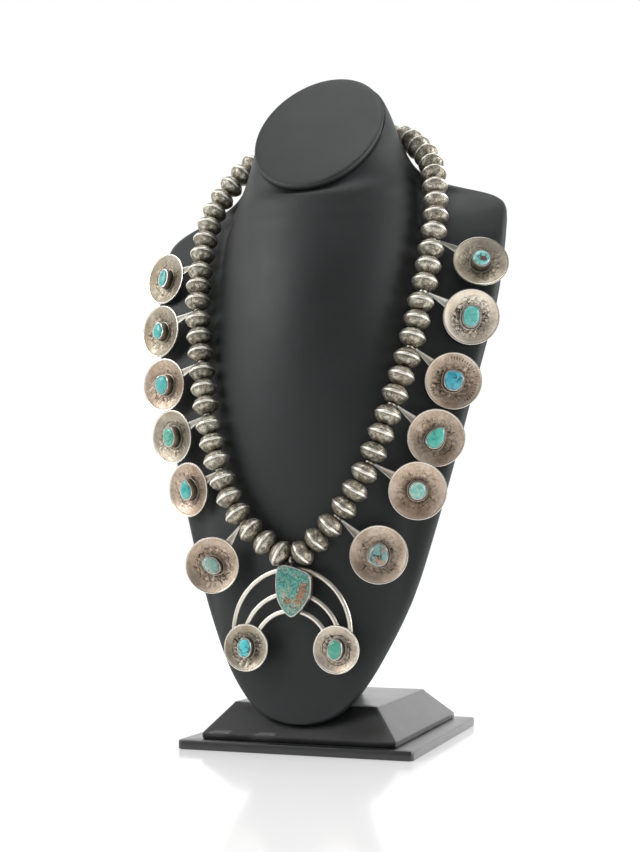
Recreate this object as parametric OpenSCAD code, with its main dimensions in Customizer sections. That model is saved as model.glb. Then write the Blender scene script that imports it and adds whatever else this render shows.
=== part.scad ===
// Squash blossom necklace of coin silver and turquoise, worn by a plain
// black neck bust on a stepped base. Millimetres, Z up, the bust faces -Y,
// and the origin is the middle of the slab's underside.

/* [Base] */
// Width of the bottom slab
slab_w = 125; // [112:1:150]
// Depth of the bottom slab, front to back
slab_d = 142; // [134:1:170]
// Thickness of the bottom slab
slab_t = 4.8; // [3:0.1:8]
// Corner radius of the slab
slab_r = 2.5; // [1:0.1:5]
// Width of the block where it stands on the slab
block_w = 104; // [90:1:108]
// Depth of the block where it stands on the slab
block_d = 128; // [112:1:132]
// Width of the block's top
block_top_w = 79; // [64:1:88]
// Depth of the block's top
block_top_d = 95; // [84:1:104]
// Height of the block
block_h = 18.2; // [14:0.1:24]
// How far the block's top lies in front of its foot's middle
block_lean = 4.5; // [0:0.5:10]

/* [Bust] */
// Width of the bust over its shoulders
bust_w = 207; // [196:1:220]
// Height of the bust from its front tip to the top of the neck
bust_h = 358; // [348:0.2:370]
// Depth of the bust from its chest to its back
bust_d = 102.5; // [96:0.5:108]
// Distance of the bust's back behind the slab's middle
bust_back = 30; // [24:0.5:36]
// Height of the bust's front tip above the table
tip_z = 14; // [10:0.5:20]
// How much higher the right shoulder stands than the left one
shoulder_rise = 8.5; // [0:0.5:12]
// Thickness of the bust's rim along its sides
rim_t = 6; // [4:0.5:9]
// Width of the oval panel on the neck
cap_w = 74; // [68:0.5:78]
// Length of the oval panel on the neck
cap_l = 92; // [86:0.5:98]
// Thickness of the oval panel
cap_t = 3.6; // [2:0.1:6]
// Slope of the oval panel above the level
cap_slope = 58; // [50:1:64]

/* [Beads] */
// Diameter of a bead over its ridge
bead_d = 14.2; // [13.4:0.1:14.8]
// Length of a bead along the thread
bead_l = 9.7; // [9:0.1:10]
// Gap between two beads
bead_gap = 0.4; // [0.35:0.01:0.6]
// Wall of a bead
bead_wall = 0.7; // [0.5:0.05:1.2]
// Hole through a bead
bead_bore = 2; // [1.6:0.1:2.4]
// Diameter of the thread
thread_d = 1; // [0.6:0.1:1.2]

/* [Blossoms] */
// Diameter of a dished coin
disc_d = 29.3; // [27:0.1:30]
// Thickness of a dished coin
disc_t = 1.3; // [0.9:0.1:1.8]
// Depth of a coin's dish
disc_dish = 3; // [2:0.1:4]
// Distance from the thread to a coin's middle
shank_l = 28.2; // [27:0.1:30]
// Thickness of a shank's round neck
shank_tip_w = 1.2; // [1:0.1:1.3]
// Length of a shank's neck, from the thread to where it starts to droop
shank_neck = 3.4; // [3:0.1:4]
// Width of a shank at the coin
shank_end_w = 4.4; // [3:0.1:6]
// Thickness of a shank, and of its eye
shank_t = 1.1; // [0.9:0.05:1.1]
// Outer diameter of a shank's eye
eye_d = 4; // [3.6:0.1:4.4]
// Room that an eye takes between two beads
eye_room = 1.4; // [1.3:0.05:1.6]
// Wall of a bezel
bezel_wall = 0.55; // [0.4:0.05:0.8]
// Width of the step around a bezel
bezel_step = 0.9; // [0.5:0.1:1.5]
// Clearance of a stone in its bezel
stone_gap = 0.12; // [0.08:0.01:0.2]

/* [Naja] */
// Radius of the outer wire's arc
naja_r = 31.1; // [30.5:0.1:33]
// Diameter of the naja's round wires
wire_d = 2.5; // [2:0.1:2.8]
// Diameter of the naja's dished coins
naja_disc_d = 24; // [22:0.1:25]
// Depth of the dish in the naja's coins
naja_dish = 2.2; // [1.5:0.1:3]
// Distance of each coin's middle from the naja's middle
naja_half = 24.1; // [23:0.1:25]
// Depth of the coins' middles below the thread
naja_drop = 44; // [43:0.1:46]
// Width of the naja's main stone
naja_stone_w = 17; // [15:0.1:18]
// Height of the naja's main stone
naja_stone_h = 24.2; // [23:0.1:26]
// Height of the main stone's bezel
naja_bezel_h = 4.4; // [3.5:0.1:5.5]
// Outer diameter of the bail
bail_d = 4.4; // [4.2:0.1:4.8]
// Thickness of the bail along the thread
bail_t = 1.3; // [1:0.1:1.6]
// Hole of the bail
bail_bore = 2.4; // [2:0.1:2.6]
// Height of the post between the bail and the outer wire
bail_post = 0.8; // [0.6:0.1:1.4]

/* [Hidden] */

// Clearance between two pieces that touch on the real thing
seat = 0.15;
// How far soldered parts run into each other
solder = 0.4;
silver = "#8f887c";
turquoise = "#4fb3a5";
leatherette = "#1c1d20";

// Route of the beads, chosen by hand. Each side starts beside the bail and
// ends at the clasp behind the neck: x, y, z of points on the thread. It is
// drawn on a bust of the drawn width, depth, back, height and tip, and the
// thread then keeps the bead's reach from a bust of any size.
drawn_bust = [207, 102.5, 30, 358, 14];
drawn_reach = 8.1;
bead_clear = 1;
drawn_hang = [0, -71.2, 96.4];
drawn_right = [
    [1.9, -71.2, 96.9], [13.9, -71.4, 106.7], [27.2, -70.8, 121.6], [37.5, -69.2, 138.6],
    [45.5, -66.5, 158], [51.6, -62.6, 177.4], [56.9, -58, 196.5], [61, -52.6, 217],
    [64.1, -46.9, 237.8], [66, -40.1, 257.6], [67.1, -32.2, 278], [65, -24.2, 297],
    [62.8, -18, 307], [59.5, -11.5, 316.5], [54, -6, 324.3], [45.7, 2.2, 333.4],
    [38, 9.8, 339.8], [29, 16.6, 343], [18, 21.8, 345], [7, 23.6, 345.8]
];
drawn_left = [
    [-1.6, -71.2, 97.2], [-13.8, -71.4, 105], [-28.2, -70.8, 117.8], [-38, -69.2, 135],
    [-45.5, -66.5, 154.6], [-51.4, -63, 174.8], [-56.2, -58, 194.6], [-60.6, -52.6, 215.4],
    [-64.4, -47.8, 236], [-66.6, -40.5, 255.8], [-67.6, -32.2, 276.1], [-66, -24.4, 294.4],
    [-63, -19.4, 304.6], [-58.6, -15.6, 313], [-54.2, -10.8, 320.8], [-50.5, -4.8, 327.8],
    [-45.2, 2.8, 333.7], [-37.6, 10.5, 338.7], [-28.8, 17, 342.2], [-18, 21.8, 344.4], [-8, 23.6, 345.6]
];
// Beads between two blossoms
beads_between = 3;
blossoms = 6;

// Sections of the bust from its tip up. Heights are shares of bust_h, widths
// of half of bust_w, depths of bust_d counted from the back. The chest is a
// rounded column between two flat wings, and full says how round it is.
// columns: height, slant, width, wing edge, column, front, full, back, taper
SECTIONS = [
    [0.000, 0.00, 0.077, 0.890, 0.068, 0.900, 0.50, 0.000, 1.30],
    [0.004, 0.00, 0.135, 0.889, 0.126, 0.903, 0.50, 0.000, 1.30],
    [0.011, 0.00, 0.193, 0.887, 0.184, 0.906, 0.50, 0.000, 1.30],
    [0.022, 0.00, 0.246, 0.881, 0.237, 0.907, 0.50, 0.000, 1.30],
    [0.039, 0.00, 0.302, 0.872, 0.290, 0.907, 0.50, 0.000, 1.30],
    [0.061, 0.00, 0.359, 0.861, 0.343, 0.906, 0.50, 0.000, 1.30],
    [0.090, 0.00, 0.418, 0.845, 0.396, 0.905, 0.55, 0.000, 1.30],
    [0.129, 0.00, 0.486, 0.814, 0.454, 0.903, 0.60, 0.000, 1.30],
    [0.184, 0.00, 0.566, 0.780, 0.502, 0.903, 0.65, 0.000, 1.30],
    [0.246, 0.00, 0.634, 0.760, 0.541, 0.905, 0.70, 0.000, 1.30],
    [0.310, 0.00, 0.699, 0.743, 0.550, 0.922, 0.80, 0.000, 1.30],
    [0.380, 0.00, 0.766, 0.720, 0.550, 0.948, 0.90, 0.000, 1.30],
    [0.453, 0.00, 0.831, 0.695, 0.540, 0.972, 1.00, 0.000, 1.30],
    [0.525, 0.00, 0.894, 0.649, 0.530, 0.987, 1.00, 0.000, 1.30],
    [0.592, 0.00, 0.947, 0.595, 0.530, 0.984, 0.90, 0.000, 1.30],
    [0.645, 0.00, 0.976, 0.532, 0.540, 0.959, 0.80, 0.000, 1.30],
    [0.693, 0.03, 0.988, 0.464, 0.551, 0.922, 0.75, 0.000, 1.30],
    [0.730, 0.08, 0.986, 0.405, 0.556, 0.893, 0.70, 0.005, 1.25],
    [0.748, 0.11, 0.957, 0.376, 0.556, 0.883, 0.65, 0.010, 1.15],
    [0.763, 0.13, 0.879, 0.356, 0.551, 0.873, 0.60, 0.020, 1.00],
    [0.779, 0.15, 0.735, 0.351, 0.541, 0.859, 0.55, 0.029, 0.85],
    [0.801, 0.19, 0.535, 0.420, 0.500, 0.844, 0.50, 0.059, 0.75],
    [0.833, 0.36, 0.452, 0.459, 0.445, 0.829, 0.50, 0.117, 0.55],
    [0.872, 0.62, 0.420, 0.488, 0.413, 0.815, 0.50, 0.205, 0.50]
];
// Slope and bulge of the wings' faces, and the share of the depth where slants pivot
wing_slope = 0.3;
wing_bulge = 0.01;
pivot = 0.488;
// Depth of the oval panel's middle as a share of bust_d
cap_depth = 0.562;

// Blossoms from the naja upward. swing turns the shank from straight out
// towards the back, droop lowers it, face_up tips the coin's face up and
// bend folds the coin back from its shank. All are in degrees.
// columns: swing, droop, face_up, bend
POSES_RIGHT = [[7, 3, 8, 3], [8, 8, 6, 11], [24, 20, 9, 0], [28, 24, 9, 1], [25, 17, 6, 0], [19, 19, 25, 0]];
POSES_LEFT = [[10, 8, -4, -9], [36, -4, 3, -12], [23, 3, 2, 1], [18, 7, 3, 3], [13, 7, 8, 12], [20, 0, 8, 3]];

// Stones of the blossoms from the naja upward. egg makes the top wider,
// lean turns the stone clockwise, and round is 2 for an oval, more for a
// squarer outline. raise is the bezel's height above the coin's dish.
// columns: width, height, round, egg, lean, raise
STONES_RIGHT = [
    [9.4, 10.6, 2.1, -0.2, 20, 4.4], [7.8, 8.2, 2.1, 0, 0, 4.6], [7.7, 11.4, 2, -0.27, 36, 4.6],
    [9.2, 9.6, 2.5, 0.1, 10, 4.6], [8.3, 10.8, 2.3, 0, 8, 4.6], [9, 9, 2, 0, 0, 5.8]
];
STONES_LEFT = [
    [7, 10.4, 1.9, 0, -55, 4.4], [8, 10.6, 1.8, -0.25, -10, 4.8], [8, 10, 2, 0, 0, 5.4],
    [8.8, 10.2, 2.1, 0.1, 0, 4.8], [7.4, 8.8, 2, -0.1, 0, 4.8], [6.6, 10, 2, 0, 12, 4.8]
];
// Stones of the naja's coins in the same columns
STONE_NAJA_LEFT = [6.6, 9.2, 2.1, 0, 0, 4.2];
STONE_NAJA_RIGHT = [7, 9.4, 2.1, 0, 8, 4.2];
// Outline of the main stone as shares of half its width and height
MAIN_OUTLINE = [
    [-1.1, 0.85], [-0.82, 1.02], [-0.35, 1.02], [0.8, 0.75], [1.02, 0.5],
    [1.02, -0.25], [0.1, -1.03], [-0.35, -1.05], [-1.1, -0.35]
];
// Place of the main stone's middle, right of and below the thread
main_stone_at = [2.9, -15.2];
// Arcs of the naja's middle and inner wires: radius, drop of the top below
// the thread, and angle above the level at which the wire ends
WIRES = [[26, 16.4, 14], [20.4, 25.3, 24]];
outer_wire_end = -6.5;
// Distance of the naja's wires behind the thread
naja_back = 0.5;

// Frames and paths
function unit(v) = v / norm(v);
function mix(a, b, t) = a + (b - a) * t;
function across(v, n) = unit(v - n * (v * n));
function catmull(a, b, c, d, t) =
    0.5 * (2 * b + (c - a) * t + (2 * a - 5 * b + 4 * c - d) * t * t + (3 * b - a - 3 * c + d) * t * t * t);
function at(list, i) = list[max(0, min(len(list) - 1, i))];
function smooth(p, n = 10) = [
    for (i = [0 : len(p) - 2], k = [0 : n - 1])
        catmull(at(p, i - 1), p[i], p[i + 1], at(p, i + 2), k / n),
    p[len(p) - 1]
];
function lengths(p) = [for (i = 0, s = 0; i < len(p); s = s + norm(at(p, i + 1) - p[i]), i = i + 1) s];
function along(p, s, d) = [for (axis = [0 : 2]) lookup(d, [for (i = [0 : len(p) - 1]) [s[i], p[i][axis]]])];

module frame_at(origin, x, y, z) {
    multmatrix([
        [x[0], y[0], z[0], origin[0]],
        [x[1], y[1], z[1], origin[1]],
        [x[2], y[2], z[2], origin[2]],
        [0, 0, 0, 1]
    ]) children();
}

// Closed solid through rings of points that run anticlockwise from above
module skin(rings) {
    n = len(rings[0]);
    m = len(rings);
    points = [for (r = rings, p = r) p];
    sides = [
        for (j = [0 : m - 2], i = [0 : n - 1], half = [0, 1])
            let (a = j * n + i, b = j * n + (i + 1) % n)
            half == 0 ? [a, a + n, b] : [b, a + n, b + n]
    ];
    bottom = [for (i = [0 : n - 1]) i];
    top = [for (i = [n - 1 : -1 : 0]) (m - 1) * n + i];
    polyhedron(points, concat([bottom], sides, [top]));
}

// Base
module rounded_rect(w, d, r) {
    square([w - 2 * r, d], center = true);
    square([w, d - 2 * r], center = true);
    for (x = [-1, 1], y = [-1, 1])
        translate([x * (w / 2 - r), y * (d / 2 - r)]) circle(r, $fn = 32);
}

module base_slab() {
    color(leatherette) linear_extrude(slab_t) rounded_rect(slab_w, slab_d, slab_r);
}

block_z = slab_t;
block_top_z = block_z + block_h;
block_edge = 3;
block_r = 1.5;

module base_block() {
    color(leatherette) hull() {
        translate([0, 0, block_z]) linear_extrude(block_edge) rounded_rect(block_w, block_d, block_r);
        translate([0, -block_lean, block_top_z - 1])
            linear_extrude(1) rounded_rect(block_top_w, block_top_d, block_r);
    }
}

// Bust
function depth(share) = bust_back - share * bust_d;
cap_y = depth(cap_depth);
cap_z = tip_z + bust_h - cap_l / 2 * sin(cap_slope);

function bust_ring(w, edge, a, front, full, back, taper, z, slope, y0, rise = 0) =
    let (
        rim = min(rim_t, 2.5 + 0.6 * (w - a)),
        valley = edge - wing_slope * (w - a),
        wing = (a + w) / 2,
        wing_y = (edge + valley) / 2 - wing_bulge * (w - a),
        behind = edge + rim,
        plan = concat(
            [[-w, edge], [-wing, wing_y]],
            [for (t = [-90 : 15 : 90]) [a * sin(t), mix(valley, front, pow(cos(t), 2 * full))]],
            [[wing, wing_y], [w, edge], [w, behind]],
            [for (t = [22.5 : 22.5 : 157.5]) [w * cos(t), mix(behind, back, pow(sin(t), 2 * taper))]],
            [[-w, behind]]
        )
    )
    [for (p = plan)
        [p[0], p[1], z + slope * (p[1] - y0) + rise * pow(max(0, p[0]) / (bust_w / 2), 1.5)]];

function section_ring(s) = bust_ring(
    s[2] * bust_w / 2, depth(s[3]), s[4] * bust_w / 2, depth(s[5]), s[6], depth(s[7]), s[8],
    tip_z + s[0] * bust_h, s[1] * tan(cap_slope), depth(pivot),
    shoulder_rise * lookup(s[0], [[0.6, 0], [0.7, 1], [0.8, 1], [0.84, 0.35], [0.87, 0]]));

function cap_ring() =
    let (reach = cap_l / 2 * cos(cap_slope))
    bust_ring(cap_w / 2 + 0.6, cap_y, cap_w / 2, cap_y - reach, 0.5, cap_y + reach, 0.5,
        cap_z, tan(cap_slope), cap_y);

// Room for the block, so that the bust stands on it with its tip in front
module foot_cut() {
    foot = -block_d / 2 - seat;
    edge = -block_lean - block_top_d / 2 - seat;
    translate([-bust_w / 2, 0, 0]) rotate([90, 0, 90]) linear_extrude(bust_w) polygon([
        [foot, block_z + block_edge], [edge, block_top_z + seat], [bust_d, block_top_z + seat],
        [bust_d, 0], [foot, 0]
    ]);
}

module neck_bust() {
    color(leatherette) difference() {
        skin(concat([for (s = SECTIONS) section_ring(s)], [cap_ring()]));
        foot_cut();
    }
}

module neck_cap() {
    steps = [[-0.8, 0], [0, 0.25], [0, 0.7], [-0.9, 0.93], [-cap_w / 8, 1], [-cap_w / 3.2, 1.05]];
    color(leatherette)
        translate([0, cap_y, cap_z]) rotate([cap_slope, 0, 0]) translate([0, 0, seat])
            skin([for (s = steps) [for (t = [0 : 10 : 350])
                [(cap_w / 2 + s[0]) * cos(t), (cap_l / 2 + s[0]) * sin(t), s[1] * cap_t]]]);
}

// Beads
pitch = bead_l + bead_gap;
function bead_start(k) = k * pitch + bead_gap / 2 + min(floor(k / beads_between), blossoms) * eye_room;
function eye_place(j) = j * beads_between * pitch + (j - 0.5) * eye_room;
function knot_place(k) =
    bead_start(k) - bead_gap / 2
    - (k > 0 && k % beads_between == 0 && k / beads_between <= blossoms ? eye_room / 2 : 0);

function on_bust(p) = [
    p[0] * bust_w / drawn_bust[0],
    bust_back - bead_d / 2 - bead_clear
    - (drawn_bust[2] - drawn_reach - p[1]) / drawn_bust[1] * bust_d,
    tip_z + (p[2] - drawn_bust[4]) / drawn_bust[3] * bust_h
];
hang = on_bust(drawn_hang);
path_right = smooth([for (p = drawn_right) on_bust(p)]);
path_left = smooth([for (p = drawn_left) on_bust(p)]);
steps_right = lengths(path_right);
steps_left = lengths(path_left);
// As many beads on each side as fit beside the clasp
clasp_room = 0.5;
function bead_count(steps) =
    floor((steps[len(steps) - 1] - clasp_room - blossoms * eye_room) / pitch);
beads_right = bead_count(steps_right);
beads_left = bead_count(steps_left);
function on_thread(side, d) = side > 0 ? along(path_right, steps_right, d) : along(path_left, steps_left, d);

// Half of a bead's outline from its hole to its ridge, as shares of the
// bead's half length and radius
BEAD_DOME = [[1, 0.16], [0.955, 0.34], [0.82, 0.57], [0.54, 0.79], [0.18, 0.95], [0.07, 1]];

module bead() {
    r = bead_d / 2;
    h = bead_l / 2;
    outer = [for (p = BEAD_DOME) [p[1] * r, p[0] * h]];
    inner = [for (i = [1 : 4]) [BEAD_DOME[i][1] * r - bead_wall * 0.6, BEAD_DOME[i][0] * h - bead_wall]];
    low = function (list) [for (i = [len(list) - 1 : -1 : 0]) [list[i][0], -list[i][1]]];
    rotate_extrude($fn = 48) difference() {
        polygon(concat([[bead_bore / 2, h]], outer, low(outer), [[bead_bore / 2, -h]]));
        polygon(concat([[0, inner[0][1]]], inner, low(inner), [[0, -inner[0][1]]]));
    }
}

module bead_string(side) {
    count = side > 0 ? beads_right : beads_left;
    color(silver) for (k = [0 : count - 1]) {
        a = on_thread(side, bead_start(k));
        b = on_thread(side, bead_start(k) + bead_l);
        z = unit(b - a);
        x = across([0, -1, 0], z);
        frame_at((a + b) / 2, x, cross(z, x), z) bead();
    }
}

module bead_string_left() { bead_string(-1); }
module bead_string_right() { bead_string(1); }

// Clasp and thread
clasp_a = on_thread(-1, bead_start(beads_left - 1) + bead_l);
clasp_b = on_thread(1, bead_start(beads_right - 1) + bead_l);
clasp_l = norm(clasp_b - clasp_a) - 2 * bead_gap;
clasp_d = 5;

module clasp() {
    x = unit(clasp_b - clasp_a);
    y = across([0, 0, 1], x);
    color(silver) frame_at((clasp_a + clasp_b) / 2, y, cross(x, y), x) difference() {
        union() {
            cylinder(h = clasp_l - 3, d = clasp_d, center = true, $fn = 32);
            cylinder(h = clasp_l, d = clasp_d - 1.6, center = true, $fn = 32);
        }
        cylinder(h = clasp_l + 1, d = bead_bore, center = true, $fn = 32);
    }
}

function knots(side, count) = [for (k = [0 : count]) on_thread(side, knot_place(k))];

module thread() {
    left = knots(-1, beads_left);
    right = knots(1, beads_right);
    loop = concat([hang], right, [for (i = [len(left) - 1 : -1 : 0]) left[i]]);
    n = len(loop);
    sides = 8;
    middle = [0, depth(pivot), tip_z + 0.55 * bust_h];
    points = [for (i = [0 : n - 1])
        let (
            t = unit(loop[(i + 1) % n] - loop[(i + n - 1) % n]),
            u = across(loop[i] - middle, t),
            v = cross(t, u)
        )
        for (a = [0 : 360 / sides : 359]) loop[i] + thread_d / 2 * (u * cos(a) + v * sin(a))];
    faces = [
        for (i = [0 : n - 1], k = [0 : sides - 1], half = [0, 1])
            let (
                a = i * sides + k,
                b = i * sides + (k + 1) % sides,
                c = (i + 1) % n * sides + k,
                d = (i + 1) % n * sides + (k + 1) % sides
            )
            half == 0 ? [a, c, b] : [b, c, d]
    ];
    color("#2a2622") polyhedron(points, faces);
}

// Stones and bezels
function outline(s, grow = 0) = [
    for (t = [0 : 15 : 345])
        let (
            c = cos(t), n = sin(t),
            x = (s[0] / 2 + grow) * sign(c) * pow(abs(c), 2 / s[2]) * (1 + s[3] * n),
            y = (s[1] / 2 + grow) * sign(n) * pow(abs(n), 2 / s[2])
        )
        [x * cos(s[4]) + y * sin(s[4]), y * cos(s[4]) - x * sin(s[4])]
];
function cut_corners(p) = [
    for (i = [0 : len(p) - 1], t = [0.25, 0.75]) mix(p[i], p[(i + 1) % len(p)], t)
];
function main_outline(grow = 0) =
    let (shape = cut_corners(cut_corners(MAIN_OUTLINE)))
    [for (i = [len(shape) - 1 : -1 : 0])
        [shape[i][0] * (naja_stone_w / 2 + grow), shape[i][1] * (naja_stone_h / 2 + grow)]];
function ring_at(shape, k, z) = [for (p = shape) [p[0] * k, p[1] * k, z]];

// Domed stone standing in its bezel from floor to rim, crown above it
module cabochon(shape, floor, rim, crown) {
    color(turquoise) skin([
        ring_at(shape, 1, floor), ring_at(shape, 1, rim - 0.3), ring_at(shape, 0.93, rim + crown * 0.35),
        ring_at(shape, 0.72, rim + crown * 0.8), ring_at(shape, 0.38, rim + crown)
    ]);
}

module bezel(inside, outside, back, floor, rim) {
    difference() {
        translate([0, 0, back]) linear_extrude(rim - back) polygon(outside);
        translate([0, 0, floor]) linear_extrude(rim - floor + 1) polygon(inside);
    }
}

rim_w = 0.7;
bezel_floor = 0.9;
crown = 1.1;
// Turns a coin so that the seams of its round faces lie at its foot
seam = -97;

// Coin dished towards +Z, its rim at z = 0
module dished_coin(d, dish) {
    inside_r = d / 2 - rim_w;
    r = (inside_r * inside_r + dish * dish) / (2 * dish);
    rotate([0, 0, seam]) difference() {
        intersection() {
            translate([0, 0, -2 * dish - disc_t]) cylinder(h = 2 * dish + disc_t, d = d, $fn = 96);
            translate([0, 0, r - dish]) sphere(r + disc_t, $fn = 128);
        }
        translate([0, 0, r - dish]) sphere(r, $fn = 128);
    }
}

module set_coin(d, dish, s) {
    dished_coin(d, dish);
    bezel(outline(s), outline(s, bezel_wall), -dish - solder, bezel_floor - dish, s[5] - dish);
    translate([0, 0, -dish - solder / 2])
        linear_extrude(bezel_floor - 0.2 + solder / 2) polygon(outline(s, bezel_wall + bezel_step));
}

module set_stone(dish, s) {
    cabochon(outline(s, -stone_gap), bezel_floor + stone_gap - dish, s[5] - dish, crown);
}

// Blossoms
coin_lift = 0.95;

// Places its children on a part of a blossom: 0 eye, 1 neck, 2 strap, 3 coin
module on_blossom(side, j, part) {
    pose = side > 0 ? POSES_RIGHT[j] : POSES_LEFT[j];
    eye = on_thread(side, eye_place(j + 1));
    t = unit(on_thread(side, eye_place(j + 1) + 1) - on_thread(side, eye_place(j + 1) - 1));
    out = across([side, 0, 0], t);
    s0 = out * cos(pose[0]) + side * cross(t, out) * sin(pose[0]);
    s = s0 * cos(pose[1]) - t * sin(pose[1]);
    n0 = across([0, -1, 0], s);
    n = n0 * cos(pose[2]) + side * cross(n0, s) * sin(pose[2]);
    elbow = eye + s0 * shank_neck;
    rim = elbow + s * (shank_l - shank_neck - disc_d / 2);
    s2 = s * cos(pose[3]) - n * sin(pose[3]);
    n2 = n * cos(pose[3]) + s * sin(pose[3]);
    up = across([0, 0, 1], n2);
    if (part == 0) frame_at(eye, out, cross(t, out), t) children();
    if (part == 1) frame_at(eye, cross(t, s0), t, s0) children();
    if (part == 2) frame_at(elbow, s, cross(n, s), n) children();
    if (part == 3) frame_at(rim + s2 * disc_d / 2 + n2 * coin_lift, cross(up, n2), up, n2) children();
}

module strap() {
    tip = shank_tip_w / 2;
    end = shank_end_w / 2;
    rim = shank_l - shank_neck - disc_d / 2;
    translate([0, 0, -shank_t / 2]) linear_extrude(shank_t)
        polygon([[0, -tip], [rim, -end], [rim + 1.1, -end], [rim + 1.1, end], [rim, end], [0, tip]]);
    rotate([0, 0, 180]) sphere(d = shank_tip_w + 0.3, $fn = 24);
}

module blossom(side, j) {
    color(silver) difference() {
        union() {
            on_blossom(side, j, 0) rotate(180) cylinder(h = shank_t, d = eye_d, center = true, $fn = 32);
            on_blossom(side, j, 1) cylinder(h = shank_neck, d = shank_tip_w, $fn = 24);
            on_blossom(side, j, 2) strap();
            on_blossom(side, j, 3) set_coin(disc_d, disc_dish, side > 0 ? STONES_RIGHT[j] : STONES_LEFT[j]);
        }
        on_blossom(side, j, 0) rotate(180)
            cylinder(h = 3 * shank_t, d = bead_bore, center = true, $fn = 32);
    }
}

module stone(side, j) {
    on_blossom(side, j, 3) set_stone(disc_dish, side > 0 ? STONES_RIGHT[j] : STONES_LEFT[j]);
}

module blossom_l1() { blossom(-1, 5); }
module blossom_l2() { blossom(-1, 4); }
module blossom_l3() { blossom(-1, 3); }
module blossom_l4() { blossom(-1, 2); }
module blossom_l5() { blossom(-1, 1); }
module blossom_l6() { blossom(-1, 0); }
module blossom_r1() { blossom(1, 5); }
module blossom_r2() { blossom(1, 4); }
module blossom_r3() { blossom(1, 3); }
module blossom_r4() { blossom(1, 2); }
module blossom_r5() { blossom(1, 1); }
module blossom_r6() { blossom(1, 0); }
module stone_l1() { stone(-1, 5); }
module stone_l2() { stone(-1, 4); }
module stone_l3() { stone(-1, 3); }
module stone_l4() { stone(-1, 2); }
module stone_l5() { stone(-1, 1); }
module stone_l6() { stone(-1, 0); }
module stone_r1() { stone(1, 5); }
module stone_r2() { stone(1, 4); }
module stone_r3() { stone(1, 3); }
module stone_r4() { stone(1, 2); }
module stone_r5() { stone(1, 1); }
module stone_r6() { stone(1, 0); }

// Naja, drawn flat with the thread at its origin and its face to +Z
wire_top = -bail_d / 2 - bail_post - wire_d / 2;
naja_coin_lift = 1.9;
bezel_back = -0.6;

module on_naja() {
    translate(hang + [0, naja_back, 0]) rotate([90, 0, 0]) children();
}

module on_naja_coin(side) {
    on_naja() translate([side * naja_half, -naja_drop, naja_coin_lift]) children();
}

module arc_wire(r, top, end) {
    translate([0, top - r, 0]) rotate([0, 0, end])
        rotate_extrude(angle = 180 - 2 * end, $fn = 96) translate([r, 0]) circle(d = wire_d, $fn = 24);
}

module naja() {
    color(silver) difference() {
        union() {
            on_naja() {
                arc_wire(naja_r, wire_top, outer_wire_end);
                for (w = WIRES) arc_wire(w[0], -w[1], w[2]);
                translate([main_stone_at[0], main_stone_at[1], -bezel_back])
                    bezel(main_outline(), main_outline(bezel_wall), 0, bezel_floor, naja_bezel_h);
            }
            on_naja_coin(-1) set_coin(naja_disc_d, naja_dish, STONE_NAJA_LEFT);
            on_naja_coin(1) set_coin(naja_disc_d, naja_dish, STONE_NAJA_RIGHT);
            translate(hang) rotate([0, 90, 0]) cylinder(h = bail_t, d = bail_d, center = true, $fn = 48);
            translate(hang + [0, 0, wire_top])
                cylinder(h = bail_post + wire_d / 2 + solder, d = bail_t - 0.1, $fn = 24);
        }
        translate(hang) rotate([0, 90, 0]) cylinder(h = 3 * bail_t, d = bail_bore, center = true, $fn = 48);
    }
}

module naja_stone() {
    on_naja() translate([main_stone_at[0], main_stone_at[1], -bezel_back])
        cabochon(main_outline(-stone_gap), bezel_floor + stone_gap, naja_bezel_h, crown);
}

module naja_stone_left() { on_naja_coin(-1) set_stone(naja_dish, STONE_NAJA_LEFT); }
module naja_stone_right() { on_naja_coin(1) set_stone(naja_dish, STONE_NAJA_RIGHT); }

base_slab();
base_block();
neck_bust();
neck_cap();
bead_string_left();
bead_string_right();
thread();
clasp();
blossom_l1();
blossom_l2();
blossom_l3();
blossom_l4();
blossom_l5();
blossom_l6();
blossom_r1();
blossom_r2();
blossom_r3();
blossom_r4();
blossom_r5();
blossom_r6();
stone_l1();
stone_l2();
stone_l3();
stone_l4();
stone_l5();
stone_l6();
stone_r1();
stone_r2();
stone_r3();
stone_r4();
stone_r5();
stone_r6();
naja();
naja_stone();
naja_stone_left();
naja_stone_right();
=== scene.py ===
"""Looks of the squash blossom necklace and its neck bust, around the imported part.

Sizes are in millimetres here, as in the part's source, and mesh_object turns them into metres.
"""

import math

import bpy
import numpy as np
from mathutils import Matrix, Vector


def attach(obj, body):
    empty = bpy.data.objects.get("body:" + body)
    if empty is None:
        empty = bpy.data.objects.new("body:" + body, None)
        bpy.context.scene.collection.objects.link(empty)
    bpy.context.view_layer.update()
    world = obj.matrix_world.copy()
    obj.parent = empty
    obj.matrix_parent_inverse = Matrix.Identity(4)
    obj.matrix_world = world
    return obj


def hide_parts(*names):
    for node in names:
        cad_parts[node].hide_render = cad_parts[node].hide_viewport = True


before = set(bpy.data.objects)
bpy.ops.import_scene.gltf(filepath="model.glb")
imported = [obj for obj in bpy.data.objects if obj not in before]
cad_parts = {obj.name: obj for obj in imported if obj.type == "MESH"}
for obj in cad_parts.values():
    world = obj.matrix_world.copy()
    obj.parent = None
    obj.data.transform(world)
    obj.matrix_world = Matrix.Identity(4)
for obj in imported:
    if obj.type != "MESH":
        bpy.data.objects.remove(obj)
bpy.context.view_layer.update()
scene = bpy.context.scene

MM = 0.001
STAND = "stand"
NAJA = "naja"


# Values that the part's source also holds

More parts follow.
